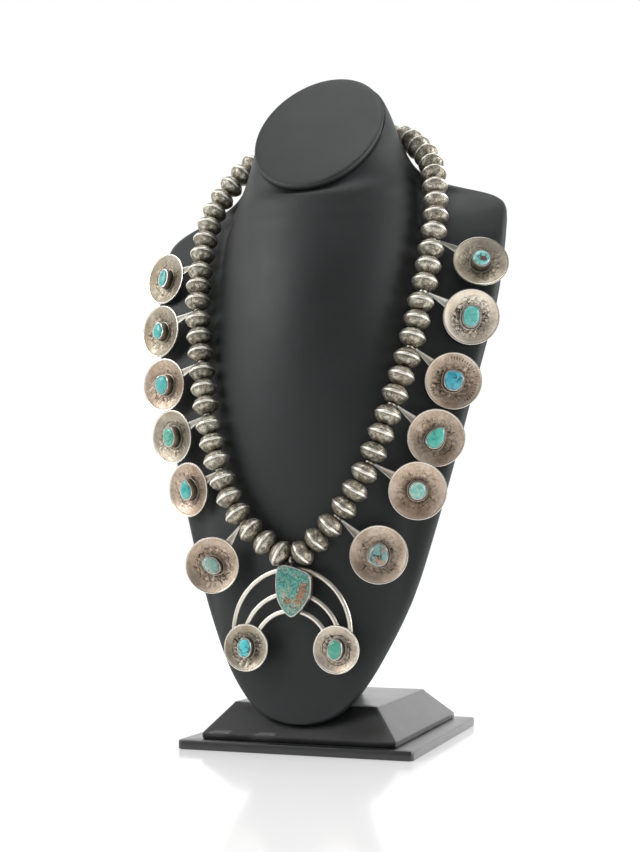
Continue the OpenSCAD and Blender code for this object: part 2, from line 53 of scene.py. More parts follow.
SLAB = dict(w=125, d=142, t=4.8, r=2.5)
BLOCK = dict(w=104, d=128, top_w=79, top_d=95, h=18.2, lean=4.5, r=1.5, edge=3)
BUST_W, BUST_H, BUST_D, BUST_BACK, TIP_Z, RIM_T = 207, 358, 102.5, 30, 14, 6
CAP_W, CAP_L, CAP_T, CAP_SLOPE = 74, 92, 3.6, math.radians(58)
BEAD_D, BEAD_L, BEAD_GAP, BORE = 14.2, 9.7, 0.4, 2
DISC_D, DISC_T, DISC_DISH, RIM_W = 29.3, 1.3, 3, 0.7
SHANK_L, SHANK_NECK, SHANK_TIP, SHANK_END, SHANK_T = 28.2, 3.4, 1.2, 4.4, 1.1
EYE_D, EYE_ROOM, COIN_LIFT = 4, 1.4, 0.95
BEZEL_WALL, BEZEL_STEP, BEZEL_FLOOR, STONE_GAP, CROWN, SOLDER = 0.55, 0.9, 0.9, 0.12, 1.1, 0.4
NAJA_R, WIRE_D, NAJA_DISC_D, NAJA_DISH, NAJA_HALF, NAJA_DROP = 31.1, 2.5, 24, 2.2, 24.1, 44
NAJA_STONE_W, NAJA_STONE_H, NAJA_BEZEL_H, NAJA_COIN_LIFT, BEZEL_BACK = 17, 24.2, 4.4, 1.9, -0.6
BAIL_D, BAIL_T, BAIL_BORE, BAIL_POST, NAJA_BACK = 4.4, 1.3, 2.4, 0.8, 0.5
WIRES = [(26, 16.4, 14), (20.4, 25.3, 24)]
OUTER_WIRE_END = -6.5
MAIN_STONE_AT = (2.9, -15.2)
SEAT = 0.15

HANG = np.array([0, -71.2, 96.4])
# Points of the thread from the naja up, over the shoulder and round to the clasp
ROUTE = {
    1: [
        (1.9, -71.2, 96.9), (13.9, -71.4, 106.7), (27.2, -70.8, 121.6), (37.5, -69.2, 138.6),
        (45.5, -66.5, 158), (51.6, -62.6, 177.4), (56.9, -58, 196.5), (61, -52.6, 217),
        (64.1, -46.9, 237.8), (66, -40.1, 257.6), (67.1, -32.2, 278), (65, -24.2, 297),
        (62.8, -18, 307), (59.5, -11.5, 316.5), (54, -6, 324.3), (45.7, 2.2, 333.4), (38, 9.8, 339.8),
        (29, 16.6, 343), (18, 21.8, 345), (7, 23.6, 345.8),
    ],
    -1: [
        (-1.6, -71.2, 97.2), (-13.8, -71.4, 105), (-28.2, -70.8, 117.8), (-38, -69.2, 135),
        (-45.5, -66.5, 154.6), (-51.4, -63, 174.8), (-56.2, -58, 194.6), (-60.6, -52.6, 215.4),
        (-64.4, -47.8, 236), (-66.6, -40.5, 255.8), (-67.6, -32.2, 276.1), (-66, -24.4, 294.4),
        (-63, -19.4, 304.6), (-58.6, -15.6, 313), (-54.2, -10.8, 320.8), (-50.5, -4.8, 327.8), (-45.2, 2.8, 333.7),
        (-37.6, 10.5, 338.7), (-28.8, 17, 342.2), (-18, 21.8, 344.4), (-8, 23.6, 345.6),
    ],
}
BEADS, BETWEEN, BLOSSOMS = 31, 3, 6
# Degrees of swing, droop, face up and bend of each blossom, from the naja up
POSES = {
    1: [(7, 3, 8, 3), (8, 8, 6, 11), (24, 20, 9, 0), (28, 24, 9, 1), (25, 17, 6, 0), (19, 19, 25, 0)],
    -1: [(10, 8, -4, -9), (36, -4, 3, -12), (23, 3, 2, 1), (18, 7, 3, 3), (13, 7, 8, 12), (20, 0, 8, 3)],
}
# Each stone's width, height, squareness, egg shape, lean in degrees and the top of its bezel
STONES = {
    1: [
        (9.4, 10.6, 2.1, -0.2, 20, 4.4), (7.8, 8.2, 2.1, 0, 0, 4.6), (7.7, 11.4, 2, -0.27, 36, 4.6),
        (9.2, 9.6, 2.5, 0.1, 10, 4.6), (8.3, 10.8, 2.3, 0, 8, 4.6), (9, 9, 2, 0, 0, 5.8),
    ],
    -1: [
        (7, 10.4, 1.9, 0, -55, 4.4), (8, 10.6, 1.8, -0.25, -10, 4.8), (8, 10, 2, 0, 0, 5.4),
        (8.8, 10.2, 2.1, 0.1, 0, 4.8), (7.4, 8.8, 2, -0.1, 0, 4.8), (6.6, 10, 2, 0, 12, 4.8),
    ],
}
STONE_NAJA = {-1: (6.6, 9.2, 2.1, 0, 0, 4.2), 1: (7, 9.4, 2.1, 0, 8, 4.2)}
MAIN_OUTLINE = [
    (-1.1, 0.85), (-0.82, 1.02), (-0.35, 1.02), (0.8, 0.75), (1.02, 0.5),
    (1.02, -0.25), (0.1, -1.03), (-0.35, -1.05), (-1.1, -0.35),
]
# Sections of the bust: height, slant, width, wing edge, column, front, full, back, taper.
# The three highest are 0.021 wider, 0.008 wider and 0.012 narrower than in the part, so that the
# smooth skin closes on the beads without touching them.
SECTIONS = [
    (0, 0, 0.077, 0.89, 0.068, 0.9, 0.5, 0, 1.3),
    (0.004, 0, 0.135, 0.889, 0.126, 0.903, 0.5, 0, 1.3),
    (0.011, 0, 0.193, 0.887, 0.184, 0.906, 0.5, 0, 1.3),
    (0.022, 0, 0.246, 0.881, 0.237, 0.907, 0.5, 0, 1.3),
    (0.039, 0, 0.302, 0.872, 0.29, 0.907, 0.5, 0, 1.3),
    (0.061, 0, 0.359, 0.861, 0.343, 0.906, 0.5, 0, 1.3),
    (0.09, 0, 0.418, 0.845, 0.396, 0.905, 0.55, 0, 1.3),
    (0.129, 0, 0.486, 0.814, 0.454, 0.903, 0.6, 0, 1.3),
    (0.184, 0, 0.566, 0.78, 0.502, 0.903, 0.65, 0, 1.3),
    (0.246, 0, 0.634, 0.76, 0.541, 0.905, 0.7, 0, 1.3),
    (0.31, 0, 0.699, 0.743, 0.55, 0.922, 0.8, 0, 1.3),
    (0.38, 0, 0.766, 0.72, 0.55, 0.948, 0.9, 0, 1.3),
    (0.453, 0, 0.831, 0.695, 0.54, 0.972, 1, 0, 1.3),
    (0.525, 0, 0.894, 0.649, 0.53, 0.987, 1, 0, 1.3),
    (0.592, 0, 0.947, 0.595, 0.53, 0.984, 0.9, 0, 1.3),
    (0.645, 0, 0.976, 0.532, 0.54, 0.959, 0.8, 0, 1.3),
    (0.693, 0.03, 0.988, 0.464, 0.551, 0.922, 0.75, 0, 1.3),
    (0.73, 0.08, 0.986, 0.405, 0.556, 0.893, 0.7, 0.005, 1.25),
    (0.748, 0.11, 0.957, 0.376, 0.556, 0.883, 0.65, 0.01, 1.15),
    (0.763, 0.13, 0.879, 0.356, 0.551, 0.873, 0.6, 0.02, 1),
    (0.779, 0.15, 0.735, 0.351, 0.541, 0.859, 0.55, 0.029, 0.85),
    (0.801, 0.19, 0.556, 0.42, 0.5, 0.844, 0.5, 0.059, 0.75),
    (0.833, 0.36, 0.46, 0.459, 0.445, 0.829, 0.5, 0.117, 0.55),
    (0.872, 0.62, 0.408, 0.488, 0.413, 0.815, 0.5, 0.205, 0.5),
]
WING_SLOPE, WING_BULGE, PIVOT, CAP_DEPTH = 0.3, 0.01, 0.488, 0.562
SHOULDER_RISE = 8.5


# Vectors, paths and frames

def unit(v):
    return v / np.linalg.norm(v)


def across(v, n):
    return unit(v - n * np.dot(v, n))


def catmull(a, b, c, d, t):
    return 0.5 * (2 * b + (c - a) * t + (2 * a - 5 * b + 4 * c - d) * t**2 + (3 * b - a - 3 * c + d) * t**3)


def smooth_path(points, n=10):
    p = np.array(points, float)
    at = lambda i: p[max(0, min(len(p) - 1, i))]
    out = [catmull(at(i - 1), p[i], p[i + 1], at(i + 2), k / n) for i in range(len(p) - 1) for k in range(n)]
    return np.array(out + [p[-1]])


PATH = {side: smooth_path(r) for side, r in ROUTE.items()}
STEPS = {side: np.r_[0, np.cumsum(np.linalg.norm(np.diff(p, axis=0), axis=1))] for side, p in PATH.items()}


def on_thread(side, d):
    return np.array([np.interp(d, STEPS[side], PATH[side][:, k]) for k in range(3)])


def bead_start(k):
    return k * (BEAD_L + BEAD_GAP) + BEAD_GAP / 2 + min(k // BETWEEN, BLOSSOMS) * EYE_ROOM


def eye_place(j):
    return j * BETWEEN * (BEAD_L + BEAD_GAP) + (j - 0.5) * EYE_ROOM


class Place:
    """An origin and three axes that local points are set into."""

    def __init__(self, origin, x, y, z):
        self.origin, self.axes = np.array(origin, float), np.array([x, y, z], float)

    def __call__(self, points):
        return self.origin + np.asarray(points, float) @ self.axes

    def moved(self, offset):
        return Place(self(offset), *self.axes)


def blossom_places(side, j):
    """Places of the eye, neck, strap and coin of blossom j, counted from the naja."""
    swing, droop, face_up, bend = np.radians(POSES[side][j])
    eye = on_thread(side, eye_place(j + 1))
    t = unit(on_thread(side, eye_place(j + 1) + 1) - on_thread(side, eye_place(j + 1) - 1))
    out = across(np.array([side, 0.0, 0.0]), t)
    s0 = out * np.cos(swing) + side * np.cross(t, out) * np.sin(swing)
    s = s0 * np.cos(droop) - t * np.sin(droop)
    n0 = across(np.array([0, -1.0, 0]), s)
    n = n0 * np.cos(face_up) + side * np.cross(n0, s) * np.sin(face_up)
    elbow = eye + s0 * SHANK_NECK
    rim = elbow + s * (SHANK_L - SHANK_NECK - DISC_D / 2)
    s2 = s * np.cos(bend) - n * np.sin(bend)
    n2 = n * np.cos(bend) + s * np.sin(bend)
    up = across(np.array([0, 0, 1.0]), n2)
    return (
        Place(eye, out, np.cross(t, out), t),
        Place(eye, np.cross(t, s0), t, s0),
        Place(elbow, s, np.cross(n, s), n),
        Place(rim + s2 * DISC_D / 2 + n2 * COIN_LIFT, np.cross(up, n2), up, n2),
    )


# Meshes

class Shape:
    """Grids of points joined into one mesh, with a tone of 0 for dark hollows to 1 for polish."""

    def __init__(self):
        self.points, self.faces, self.tones, self.uvs, self.count = [], [], [], [], 0

    def grid(self, p, tone=0.5, uv=None, ring=True, flip=False):
        """p is rows x columns x 3. With ring, each row closes on itself."""
        p = np.asarray(p, float)
        m, n = p.shape[:2]
        row = np.arange(m - 1)[:, None]
        col = np.arange(n if ring else n - 1)[None, :]
        nxt = (col + 1) % n
        quads = np.stack([row * n + col, row * n + nxt, (row + 1) * n + nxt, (row + 1) * n + col], -1)
        quads = quads.reshape(-1, 4) + self.count
        self.faces.append(quads[:, ::-1] if flip else quads)
        self.points.append(p.reshape(-1, 3))
        self.tones.append(np.broadcast_to(tone, (m, n)).reshape(-1))
        self.uvs.append(np.zeros((m * n, 2)) if uv is None else np.asarray(uv, float).reshape(-1, 2))
        self.count += m * n
        return self


def mesh_object(name, shape, material, body, stands_for=(), smooth=math.radians(40)):
    """A Blender piece from a Shape, riding on a body and standing for CAD nodes."""
    mesh = bpy.data.meshes.new(name)
    points = np.concatenate(shape.points) * MM
    faces = np.concatenate(shape.faces)
    mesh.vertices.add(len(points))
    mesh.vertices.foreach_set("co", points.astype(np.float32).ravel())
    mesh.loops.add(faces.size)
    mesh.loops.foreach_set("vertex_index", faces.astype(np.int32).ravel())
    mesh.polygons.add(len(faces))
    mesh.polygons.foreach_set("loop_start", np.arange(0, faces.size, 4, dtype=np.int32))
    mesh.update(calc_edges=True)
    mesh.validate()
    tone = mesh.attributes.new("tone", "FLOAT", "POINT")
    tone.data.foreach_set("value", np.concatenate(shape.tones).astype(np.float32))
    uv = np.concatenate(shape.uvs)
    layer = mesh.uv_layers.new(name="UVMap")
    index = np.empty(len(mesh.loops), dtype=np.int32)
    mesh.loops.foreach_get("vertex_index", index)
    layer.data.foreach_set("uv", uv[index].astype(np.float32).ravel())
    mesh.materials.append(material)
    mesh.polygons.foreach_set("use_smooth", np.ones(len(mesh.polygons), dtype=bool))
    mesh.set_sharp_from_angle(angle=smooth)
    piece = bpy.data.objects.new(name, mesh)
    scene.collection.objects.link(piece)
    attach(piece, body)
    if stands_for:
        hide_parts(*stands_for)


def circle(n):
    a = np.arange(n) * 2 * math.pi / n
    return np.cos(a), np.sin(a)


class Waves:
    """Smooth worn relief from a few random plane waves, flattened into islands."""

    def __init__(self, seed, low, high, count=14):
        rng = np.random.default_rng(seed)
        k = rng.normal(size=(count, 3))
        k /= np.linalg.norm(k, axis=1)[:, None]
        self.k = k * (2 * math.pi / rng.uniform(low, high, count))[:, None]
        self.phase = rng.uniform(0, 2 * math.pi, count)

    def __call__(self, p, sharp=1.6):
        s = np.sin(np.asarray(p) @ self.k.T + self.phase).sum(-1) / math.sqrt(len(self.phase))
        return np.tanh(sharp * s)


def turned(profile, cx, sx):
    """Points of a profile of radius and height turned around Z."""
    r, z = profile[:, :1], profile[:, 1:2]
    return np.stack([r * cx, r * sx, z + 0 * cx], -1)


def bump_window(x, low, high, soft):
    return np.clip((x - low) / soft, 0, 1) * np.clip((high - x) / soft, 0, 1)


# Materials

class Field:
    """A value or colour that varies over a surface. Arithmetic on it adds Math nodes."""

    def __init__(self, socket):
        self.socket = socket

    __add__ = lambda a, b: calc("ADD", a, b)
    __sub__ = lambda a, b: calc("SUBTRACT", a, b)
    __rsub__ = lambda a, b: calc("SUBTRACT", b, a)
    __mul__ = lambda a, b: calc("MULTIPLY", a, b)
    __truediv__ = lambda a, b: calc("DIVIDE", a, b)
    __lt__ = lambda a, b: calc("LESS_THAN", a, b)
    __gt__ = lambda a, b: calc("GREATER_THAN", a, b)
    __abs__ = lambda a: calc("ABSOLUTE", a)

    def clip(self):
        """Keep the value between 0 and 1 in the node that it comes from."""
        self.socket.node.use_clamp = True
        return self


def put(socket, value):
    """Link a Field to a socket, or set the socket to a number, vector or colour."""
    if isinstance(value, Field):
        socket.id_data.links.new(value.socket, socket)
    else:
        socket.default_value = (*value, 1) if socket.type == "RGBA" else value


def node(tree, kind, inputs=None, output=0, **settings):
    """Add a node whose inputs are given by name or number, and return one output."""
    made = tree.nodes.new("ShaderNode" + kind)
    for name, value in settings.items():
        setattr(made, name, value)
    for name, value in (inputs or {}).items():
        put(made.inputs[name], value)
    return Field(made.outputs[output])


def tree_of(*values):
    return next(v.socket.id_data for v in values if isinstance(v, Field))


def calc(kind, *values):
    return node(tree_of(*values), "Math", dict(enumerate(values)), operation=kind)


def mix(factor, a, b, kind="MIX"):
    # inputs 6 and 7 and output 2 are the Mix node's colours
    inputs = {0: factor, 6: a, 7: b}
    return node(tree_of(factor, a, b), "Mix", inputs, 2, data_type="RGBA", blend_type=kind)


def ramp(factor, *stops):
    """Colour ramp through stops of a place and a grey or colour."""
    field = node(tree_of(factor), "ValToRGB", {"Fac": factor}, "Color")
    elements = field.socket.node.color_ramp.elements
    while len(elements) < len(stops):
        elements.new(0.5)
    for element, (place, value) in zip(elements, stops):
        element.position = place
        element.color = (*value, 1) if isinstance(value, tuple) else (value, value, value, 1)
    return field


def parts(vector):
    """The three components of a vector."""
    apart = node(tree_of(vector), "SeparateXYZ", {"Vector": vector})
    return [Field(socket) for socket in apart.socket.node.outputs]


def in_object(tree):
    return node(tree, "TexCoord", output="Object")


def noise(tree, scale, detail, roughness=0.55, vector=None, distortion=0.0):
    inputs = {"Vector": vector or in_object(tree), "Scale": scale, "Detail": detail,
              "Roughness": roughness, "Distortion": distortion}
    return node(tree, "TexNoise", inputs, "Fac")


def spots(low, high, tree, *form):
    """Noise turned into spots: 0 where it is below low and 1 where it is above high."""
    return ramp(noise(tree, *form), (low, 0.0), (high, 1.0))


def cells(tree, scale, vector):
    """Distance from the edges between cells of uneven shape."""
    inputs = {"Vector": vector, "Scale": scale}
    return node(tree, "TexVoronoi", inputs, "Distance", feature="DISTANCE_TO_EDGE")


def bump(height, depth_mm, under=None):
    inputs = {"Strength": 1.0, "Distance": depth_mm * MM, "Height": height}
    if under:
        inputs["Normal"] = under
    return node(tree_of(height), "Bump", inputs, "Normal")


def new_material(name, rough=0.5, metal=0.0, color=(0.5, 0.5, 0.5)):
    """A material, its node tree and the inputs of its shader."""
    m = bpy.data.materials.new(name)
    m.use_nodes = True
    inputs = m.node_tree.nodes["Principled BSDF"].inputs
    put(inputs["Roughness"], rough)
    put(inputs["Metallic"], metal)
    put(inputs["Base Color"], color)
    return m, m.node_tree, inputs


def tone_of(tree):
    return node(tree, "Attribute", output="Fac", attribute_name="tone")


def silver(name, hollow, middle, polish, rough=(0.5, 0.3), grain=0.02, cracks=0.0, speckle=0.5):
    """Worn silver: the tone attribute says where it is oxidised and where rubbed bright, and on the naja's wires
    it also holds painted shade.
    """
    m, tree, shader = new_material(name, metal=1.0)
    tone = tone_of(tree)
    cloud = noise(tree, 180, 5, 0.6)
    fine = noise(tree, 1400, 4, 0.65)
    mixed = (tone + (cloud - 0.5) * 0.55 + (fine - 0.5) * speckle).clip()
    color = ramp(mixed, (0.08, hollow), (0.5, middle), (0.95, polish))
    height = cloud * 2.0 + noise(tree, 2600, 3, 0.7)
    if cracks:
        vein = abs(noise(tree, 330, 4, 0.6, distortion=0.5) - 0.5)
        crack = (1.0 - vein * 24.0).clip() * (tone < 0.78) * cracks
        color = mix(crack, color, hollow)
        height = height + crack * -1.5
    put(shader["Base Color"], color)
    put(shader["Roughness"], ramp(mixed, (0.1, rough[0]), (0.9, rough[1])))
    put(shader["Normal"], bump(height, grain))
    return m


def coin_silver(name, hollow, middle, polish, stain, cracks=1.0, strokes=0.0, ringed=0.0):
    """Silver of a dished coin: teeth inside the rim, dark cracks running out from the bezel,
    a wandering dark line round it, short strokes that spell nothing, and stains."""
    m, tree, shader = new_material(name, metal=1.0)
    tone = tone_of(tree)
    x, y, _ = (part * 2.0 - 1.0 for part in parts(node(tree, "UVMap")))
    radius = calc("SQRT", x * x + y * y)
    angle = calc("ARCTAN2", y, x)

    def band(low, high, soft):
        return ((radius - low) * soft).clip() * ((high - radius) * soft).clip()

    teeth = calc("SINE", angle * 96.0) * band(0.88, 0.945, 60.0)
    cloud = noise(tree, 120, 5, 0.62, distortion=0.6)
    fine = noise(tree, 900, 5, 0.7)
    speck = noise(tree, 3000, 3, 0.7)
    outward = node(tree, "CombineXYZ", {0: x / radius * 5.0, 1: y / radius * 5.0, 2: radius * 2.6})
    own = node(tree, "ObjectInfo", output="Location")
    outward = node(tree, "VectorMath", {0: outward, 1: own}, operation="ADD")
    where = ((noise(tree, 170, 3, 0.5) - 0.44) * 6.0).clip()
    vein = abs(noise(tree, 1.1, 4, 0.55, outward, 0.9) - 0.5)
    crack = (1.0 - vein * 20.0).clip() * where * band(0.2, 0.86, 5.0) * cracks
    stroke = calc("SINE", angle * 52.0 + cloud * 9.0) > 0.35
    stroke = stroke * band(0.74, 0.86, 40.0) * where * strokes
    path = noise(tree, 190, 2, 0.5) * 0.34 + radius - 0.17
    seen = ((noise(tree, 110, 2, 0.5) - (0.4 - ringed)) * 7.0).clip()
    ring = (1.0 - abs(path - 0.6) * 55.0).clip() * seen * (cracks + 2 * ringed)
    lines = calc("MAXIMUM", calc("MAXIMUM", crack, ring), stroke)
    mixed = tone + (cloud - 0.5) * 0.5 + (fine - 0.5) * 0.5 + teeth * 0.06
    mixed = (mixed + lines * -0.42).clip()
    # the strap lies outside the coin's radius of 1 and has no stain
    coin = radius < 1.2
    warm = ((noise(tree, 75, 3, 0.5) - 0.42) * 3.0).clip()
    color = ramp(mixed, (0.04, hollow), (0.5, middle), (0.94, polish))
    color = mix(warm * coin * 0.6, color, stain, "MULTIPLY")
    color = mix(1.0 - coin, color, (0.86, 0.94, 1.0), "MULTIPLY")
    put(shader["Base Color"], color)
    put(shader["Roughness"], ramp(mixed, (0.1, 0.6), (0.55, 0.46), (0.95, 0.24)))
    put(shader["Normal"], bump(speck * 0.5 + fine * 1.2 + teeth * 0.9 + lines * -1.2, 0.045))
    return m


def blotch(at, ragged, middle, wide, high, lean=0.0, soft=3.0):
    """1 inside a leaning oval with a ragged edge, its sizes in millimetres as seen from the front."""
    dx, dz = at[0] - middle[0] * MM, at[2] - middle[1] * MM
    dx, dz = (dx - dz * lean) / (wide * MM), dz / (high * MM)
    far = calc("SQRT", dx * dx + dz * dz)
    return ((ragged * 2.2 + 1.0 - far) * soft).clip()


def polished(m, shader, color, height, depth_mm, coat, coat_rough):
    put(shader["Base Color"], color)
    put(shader["Normal"], bump(height, depth_mm))
    put(shader["Coat Weight"], coat)
    put(shader["Coat Roughness"], coat_rough)
    return m


def turquoise(name, main, second, vein, veins, shift, patch=None, dark_at=None):
    """Polished stone: two tones in clouds, dark veins, and a patch or one dark spot."""
    m, tree, shader = new_material(name, rough=0.22)
    moved = {"Vector": in_object(tree), "Location": (shift, shift * 0.7, shift * 1.3)}
    where = node(tree, "Mapping", moved)
    cloud = spots(0.4, 0.62, tree, 320, 6, 0.65, where)
    color = mix(cloud, main, second)
    if patch:
        color = mix(spots(0.5, 0.58, tree, 105, 5, 0.6, where, 0.8), color, patch)
    edge = cells(tree, 330, where) + (noise(tree, 500, 5, 0.7, where) - 0.5) * 0.55
    dark = ramp(edge, (0.0, 1.0), (0.05 + 0.14 * veins, 0.0))
    dark = dark * spots(0.42, 0.58, tree, 190, 3, 0.5, where) * min(1.0, 0.5 + veins)
    color = mix(dark, color, vein)
    if dark_at is not None:
        ragged = noise(tree, 650, 4, 0.7, where) - 0.5
        spot = blotch(parts(in_object(tree)), ragged, dark_at, 2.2, 1.9)
        color = mix(spot, color, (0.13, 0.07, 0.07))
    pale = spots(0.66, 0.72, tree, 2100, 2, 0.5, where)
    color = mix(pale * 0.45, color, (0.62, 0.72, 0.66))
    return polished(m, shader, color, cloud - dark, 0.05, 0.5, 0.12)


def main_turquoise(name, middle):
    """The naja's large stone: speckled teal, two rusty patches and pale matrix between them."""
    m, tree, shader = new_material(name, rough=0.3)
    where = in_object(tree)
    at = parts(where)
    ragged = noise(tree, 420, 5, 0.7, where) - 0.5

    def patches(*forms):
        one, other = (blotch(at, ragged, (middle[0] + x, middle[1] + z), *form) for x, z, *form in forms)
        return calc("MAXIMUM", one, other)

    color = mix(spots(0.42, 0.6, tree, 700, 5, 0.7, where), (0.02, 0.23, 0.2), (0.1, 0.44, 0.36))
    grey = spots(0.52, 0.62, tree, 330, 4, 0.6, where)
    color = mix(grey * 0.6, color, (0.3, 0.36, 0.28))
    matrix = patches((1.0, -6.0, 4.6, 5.6, 0.3, 1.6), (-5.2, -2.2, 2.4, 5.0, 0.0, 1.4))
    speck = spots(0.44, 0.6, tree, 1500, 3, 0.6, where)
    color = mix(matrix * (speck * 0.7 + 0.25), color, (0.6, 0.54, 0.38))
    rust = patches((4.2, -1.6, 3.1, 6.6, 0.3, 3.0), (-2.8, -5.0, 2.3, 2.2, 0.0, 3.0))
    color = mix(rust * 0.9, color, mix(speck, (0.24, 0.09, 0.035), (0.45, 0.22, 0.1)))
    dots = spots(0.545, 0.6, tree, 1250, 4, 0.6, where)
    color = mix(dots * 0.85, color, (0.02, 0.04, 0.035))
    pale = spots(0.59, 0.65, tree, 1700, 2, 0.5, where, 0.4)
    color = mix(pale * 0.55, color, (0.62, 0.66, 0.52))
    return polished(m, shader, color, speck - dots, 0.07, 0.25, 0.15)


def leatherette(name, color, rough, grain=0.035, grain_scale=2300, soft=0.0, coat=0.0):
    """Smooth imitation leather with a fine grain, soft where it is padded, coated where it shines."""
    m, tree, shader = new_material(name, rough, color=color)
    height = ramp(cells(tree, grain_scale, in_object(tree)), (0.0, 0.0), (0.35, 1.0))
    normal = bump(height + noise(tree, grain_scale * 1.6, 3, 0.6), grain)
    if soft:
        normal = bump(noise(tree, 26, 2, 0.4), soft, normal)
    put(shader["Normal"], normal)
    put(shader["Roughness"], ramp(noise(tree, 60, 4, 0.6), (0.35, rough - 0.03), (0.65, rough + 0.04)))
    put(shader["Coat Weight"], coat)
    put(shader["Coat Roughness"], 0.28)
    return m


BUST_LEATHER = leatherette("bust_leatherette", (0.011, 0.0135, 0.014), 0.42, soft=0.25)
CAP_LEATHER = leatherette("cap_leatherette", (0.014, 0.016, 0.016), 0.45, soft=0.15)
BASE_LEATHER = leatherette("base_leatherette", (0.004, 0.0045, 0.005), 0.4, 0.05, 1500, coat=1.0)
# Each silver's colour in its hollows, in between and where it is polished
BEAD_SILVER = silver("bead_silver", (0.06, 0.05, 0.037), (0.46, 0.42, 0.335), (0.93, 0.9, 0.82),
                     (0.6, 0.34), grain=0.05, cracks=0.6, speckle=1.5)
WIRE_SILVER = silver("wire_silver", (0.09, 0.075, 0.055), (0.6, 0.545, 0.45), (0.9, 0.85, 0.76), (0.5, 0.36))
BRIGHT = silver("bezel_silver", (0.08, 0.066, 0.052), (0.38, 0.345, 0.3), (0.8, 0.765, 0.71), (0.46, 0.28))
# The same for the coins, with the tint of their stains
COIN_WARM = coin_silver("coin_warm", (0.05, 0.037, 0.028), (0.56, 0.455, 0.36), (0.92, 0.86, 0.78),
                        (0.82, 0.68, 0.57), 1.0)
COIN_STRUCK = coin_silver("coin_struck", (0.04, 0.028, 0.021), (0.53, 0.43, 0.34), (0.92, 0.86, 0.77),
                          (0.8, 0.66, 0.55), 0.8, strokes=1.0)
COIN_GREY = coin_silver("coin_grey", (0.05, 0.042, 0.032), (0.47, 0.415, 0.33), (0.9, 0.87, 0.79),
                        (0.84, 0.76, 0.63), 0.9)
COIN_PALE = coin_silver("coin_pale", (0.04, 0.03, 0.023), (0.92, 0.83, 0.7), (0.98, 0.94, 0.88),
                        (0.88, 0.77, 0.67), 0.8)
COIN_TAN = coin_silver("coin_tan", (0.05, 0.035, 0.025), (0.6, 0.475, 0.37), (0.93, 0.88, 0.8),
                       (0.84, 0.69, 0.57), 0.8)
COIN_RINGED = coin_silver("coin_ringed", (0.04, 0.03, 0.023), (0.66, 0.57, 0.47), (0.95, 0.91, 0.84),
                          (0.86, 0.75, 0.65), 0.8, ringed=0.3)

# Where the dark spot of the highest right stone lies, right and up, seen from the front
R1_SPOT = blossom_places(1, 5)[3]((1.2, -0.6, 3)).take((0, 2))
MAIN_MIDDLE = (HANG[0] + MAIN_STONE_AT[0], HANG[2] + MAIN_STONE_AT[1])
# Each stone's material, main, second and vein colour, share of veins, shift, patch and dark spot
TURQUOISES = {
    "stone_r1": ("mint_stone", (0.15, 0.58, 0.54), (0.34, 0.7, 0.66), (0.07, 0.045, 0.055), 0.8, 0.011,
                 None, R1_SPOT),
    "stone_r2": ("teal_stone", (0.09, 0.5, 0.46), (0.2, 0.6, 0.55), (0.12, 0.3, 0.26), 0.25, 0.023),
    "stone_r3": ("blue_stone", (0.03, 0.36, 0.5), (0.1, 0.5, 0.58), (0.03, 0.06, 0.08), 0.6, 0.037),
    "stone_r4": ("green_stone", (0.05, 0.47, 0.38), (0.14, 0.56, 0.46), (0.04, 0.16, 0.12), 0.3, 0.041),
    "stone_r5": ("pale_stone", (0.16, 0.54, 0.52), (0.5, 0.7, 0.56), (0.16, 0.38, 0.36), 0.3, 0.059),
    "stone_r6": ("brown_stone", (0.09, 0.34, 0.34), (0.3, 0.45, 0.42), (0.05, 0.03, 0.02), 0.7, 0.067,
                 (0.42, 0.27, 0.19)),
    "stone_l1": ("veined_stone", (0.06, 0.46, 0.45), (0.16, 0.56, 0.52), (0.03, 0.04, 0.04), 1.2, 0.071),
    "stone_l2": ("turquoise_a", (0.05, 0.48, 0.46), (0.13, 0.56, 0.54), (0.05, 0.15, 0.15), 0.35, 0.083),
    "stone_l3": ("turquoise_b", (0.06, 0.47, 0.46), (0.15, 0.55, 0.53), (0.05, 0.12, 0.12), 0.4, 0.097),
    "stone_l4": ("green_stone_b", (0.07, 0.46, 0.34), (0.16, 0.54, 0.42), (0.04, 0.14, 0.09), 0.3, 0.103),
    "stone_l5": ("turquoise_c", (0.04, 0.45, 0.43), (0.13, 0.55, 0.52), (0.03, 0.1, 0.1), 0.4, 0.117),
    "stone_l6": ("sage_stone", (0.22, 0.42, 0.36), (0.4, 0.55, 0.48), (0.1, 0.09, 0.06), 0.6, 0.129),
    "naja_stone_left": ("bright_stone", (0.02, 0.53, 0.58), (0.14, 0.7, 0.72), (0.015, 0.03, 0.05), 0.45, 0.137),
    "naja_stone_right": ("green_stone_c", (0.06, 0.36, 0.26), (0.12, 0.46, 0.34), (0.03, 0.12, 0.08), 0.3, 0.149),
}
STONE_LOOKS = {word: turquoise(*look) for word, look in TURQUOISES.items()}
STONE_LOOKS["naja_stone"] = main_turquoise("main_stone", MAIN_MIDDLE)


# Stand

def rounded_ring(w, d, r, z, cy=0.0, per_corner=8, per_side=20):
    """Rounded rectangle, anticlockwise from above."""
    x, y = w / 2 - r, d / 2 - r
    centres = [(x, y), (-x, y), (-x, -y), (x, -y)]
    points = []
    for i, (x, y) in enumerate(centres):
        for k in range(per_corner + 1):
            t = math.radians(90 * (i + k / per_corner))
            points.append((x + r * math.cos(t), y + r * math.sin(t)))
        start, (next_x, next_y) = np.array(points[-1]), centres[(i + 1) % 4]
        side = np.array([next_x - x, next_y - y])
        points += [start + side * k / per_side for k in range(1, per_side)]
    p = np.array(points)
    return np.c_[p[:, 0], p[:, 1] + cy, np.full(len(p), z)]


def closed_to_middle(ring, steps=6):
    """Rings that shrink to the middle of a flat face, outermost first."""
    middle = ring.mean(axis=0)
    shares = [1 - k / steps for k in range(1, steps)] + [0.002]
    return [middle + (ring - middle) * share for share in shares]


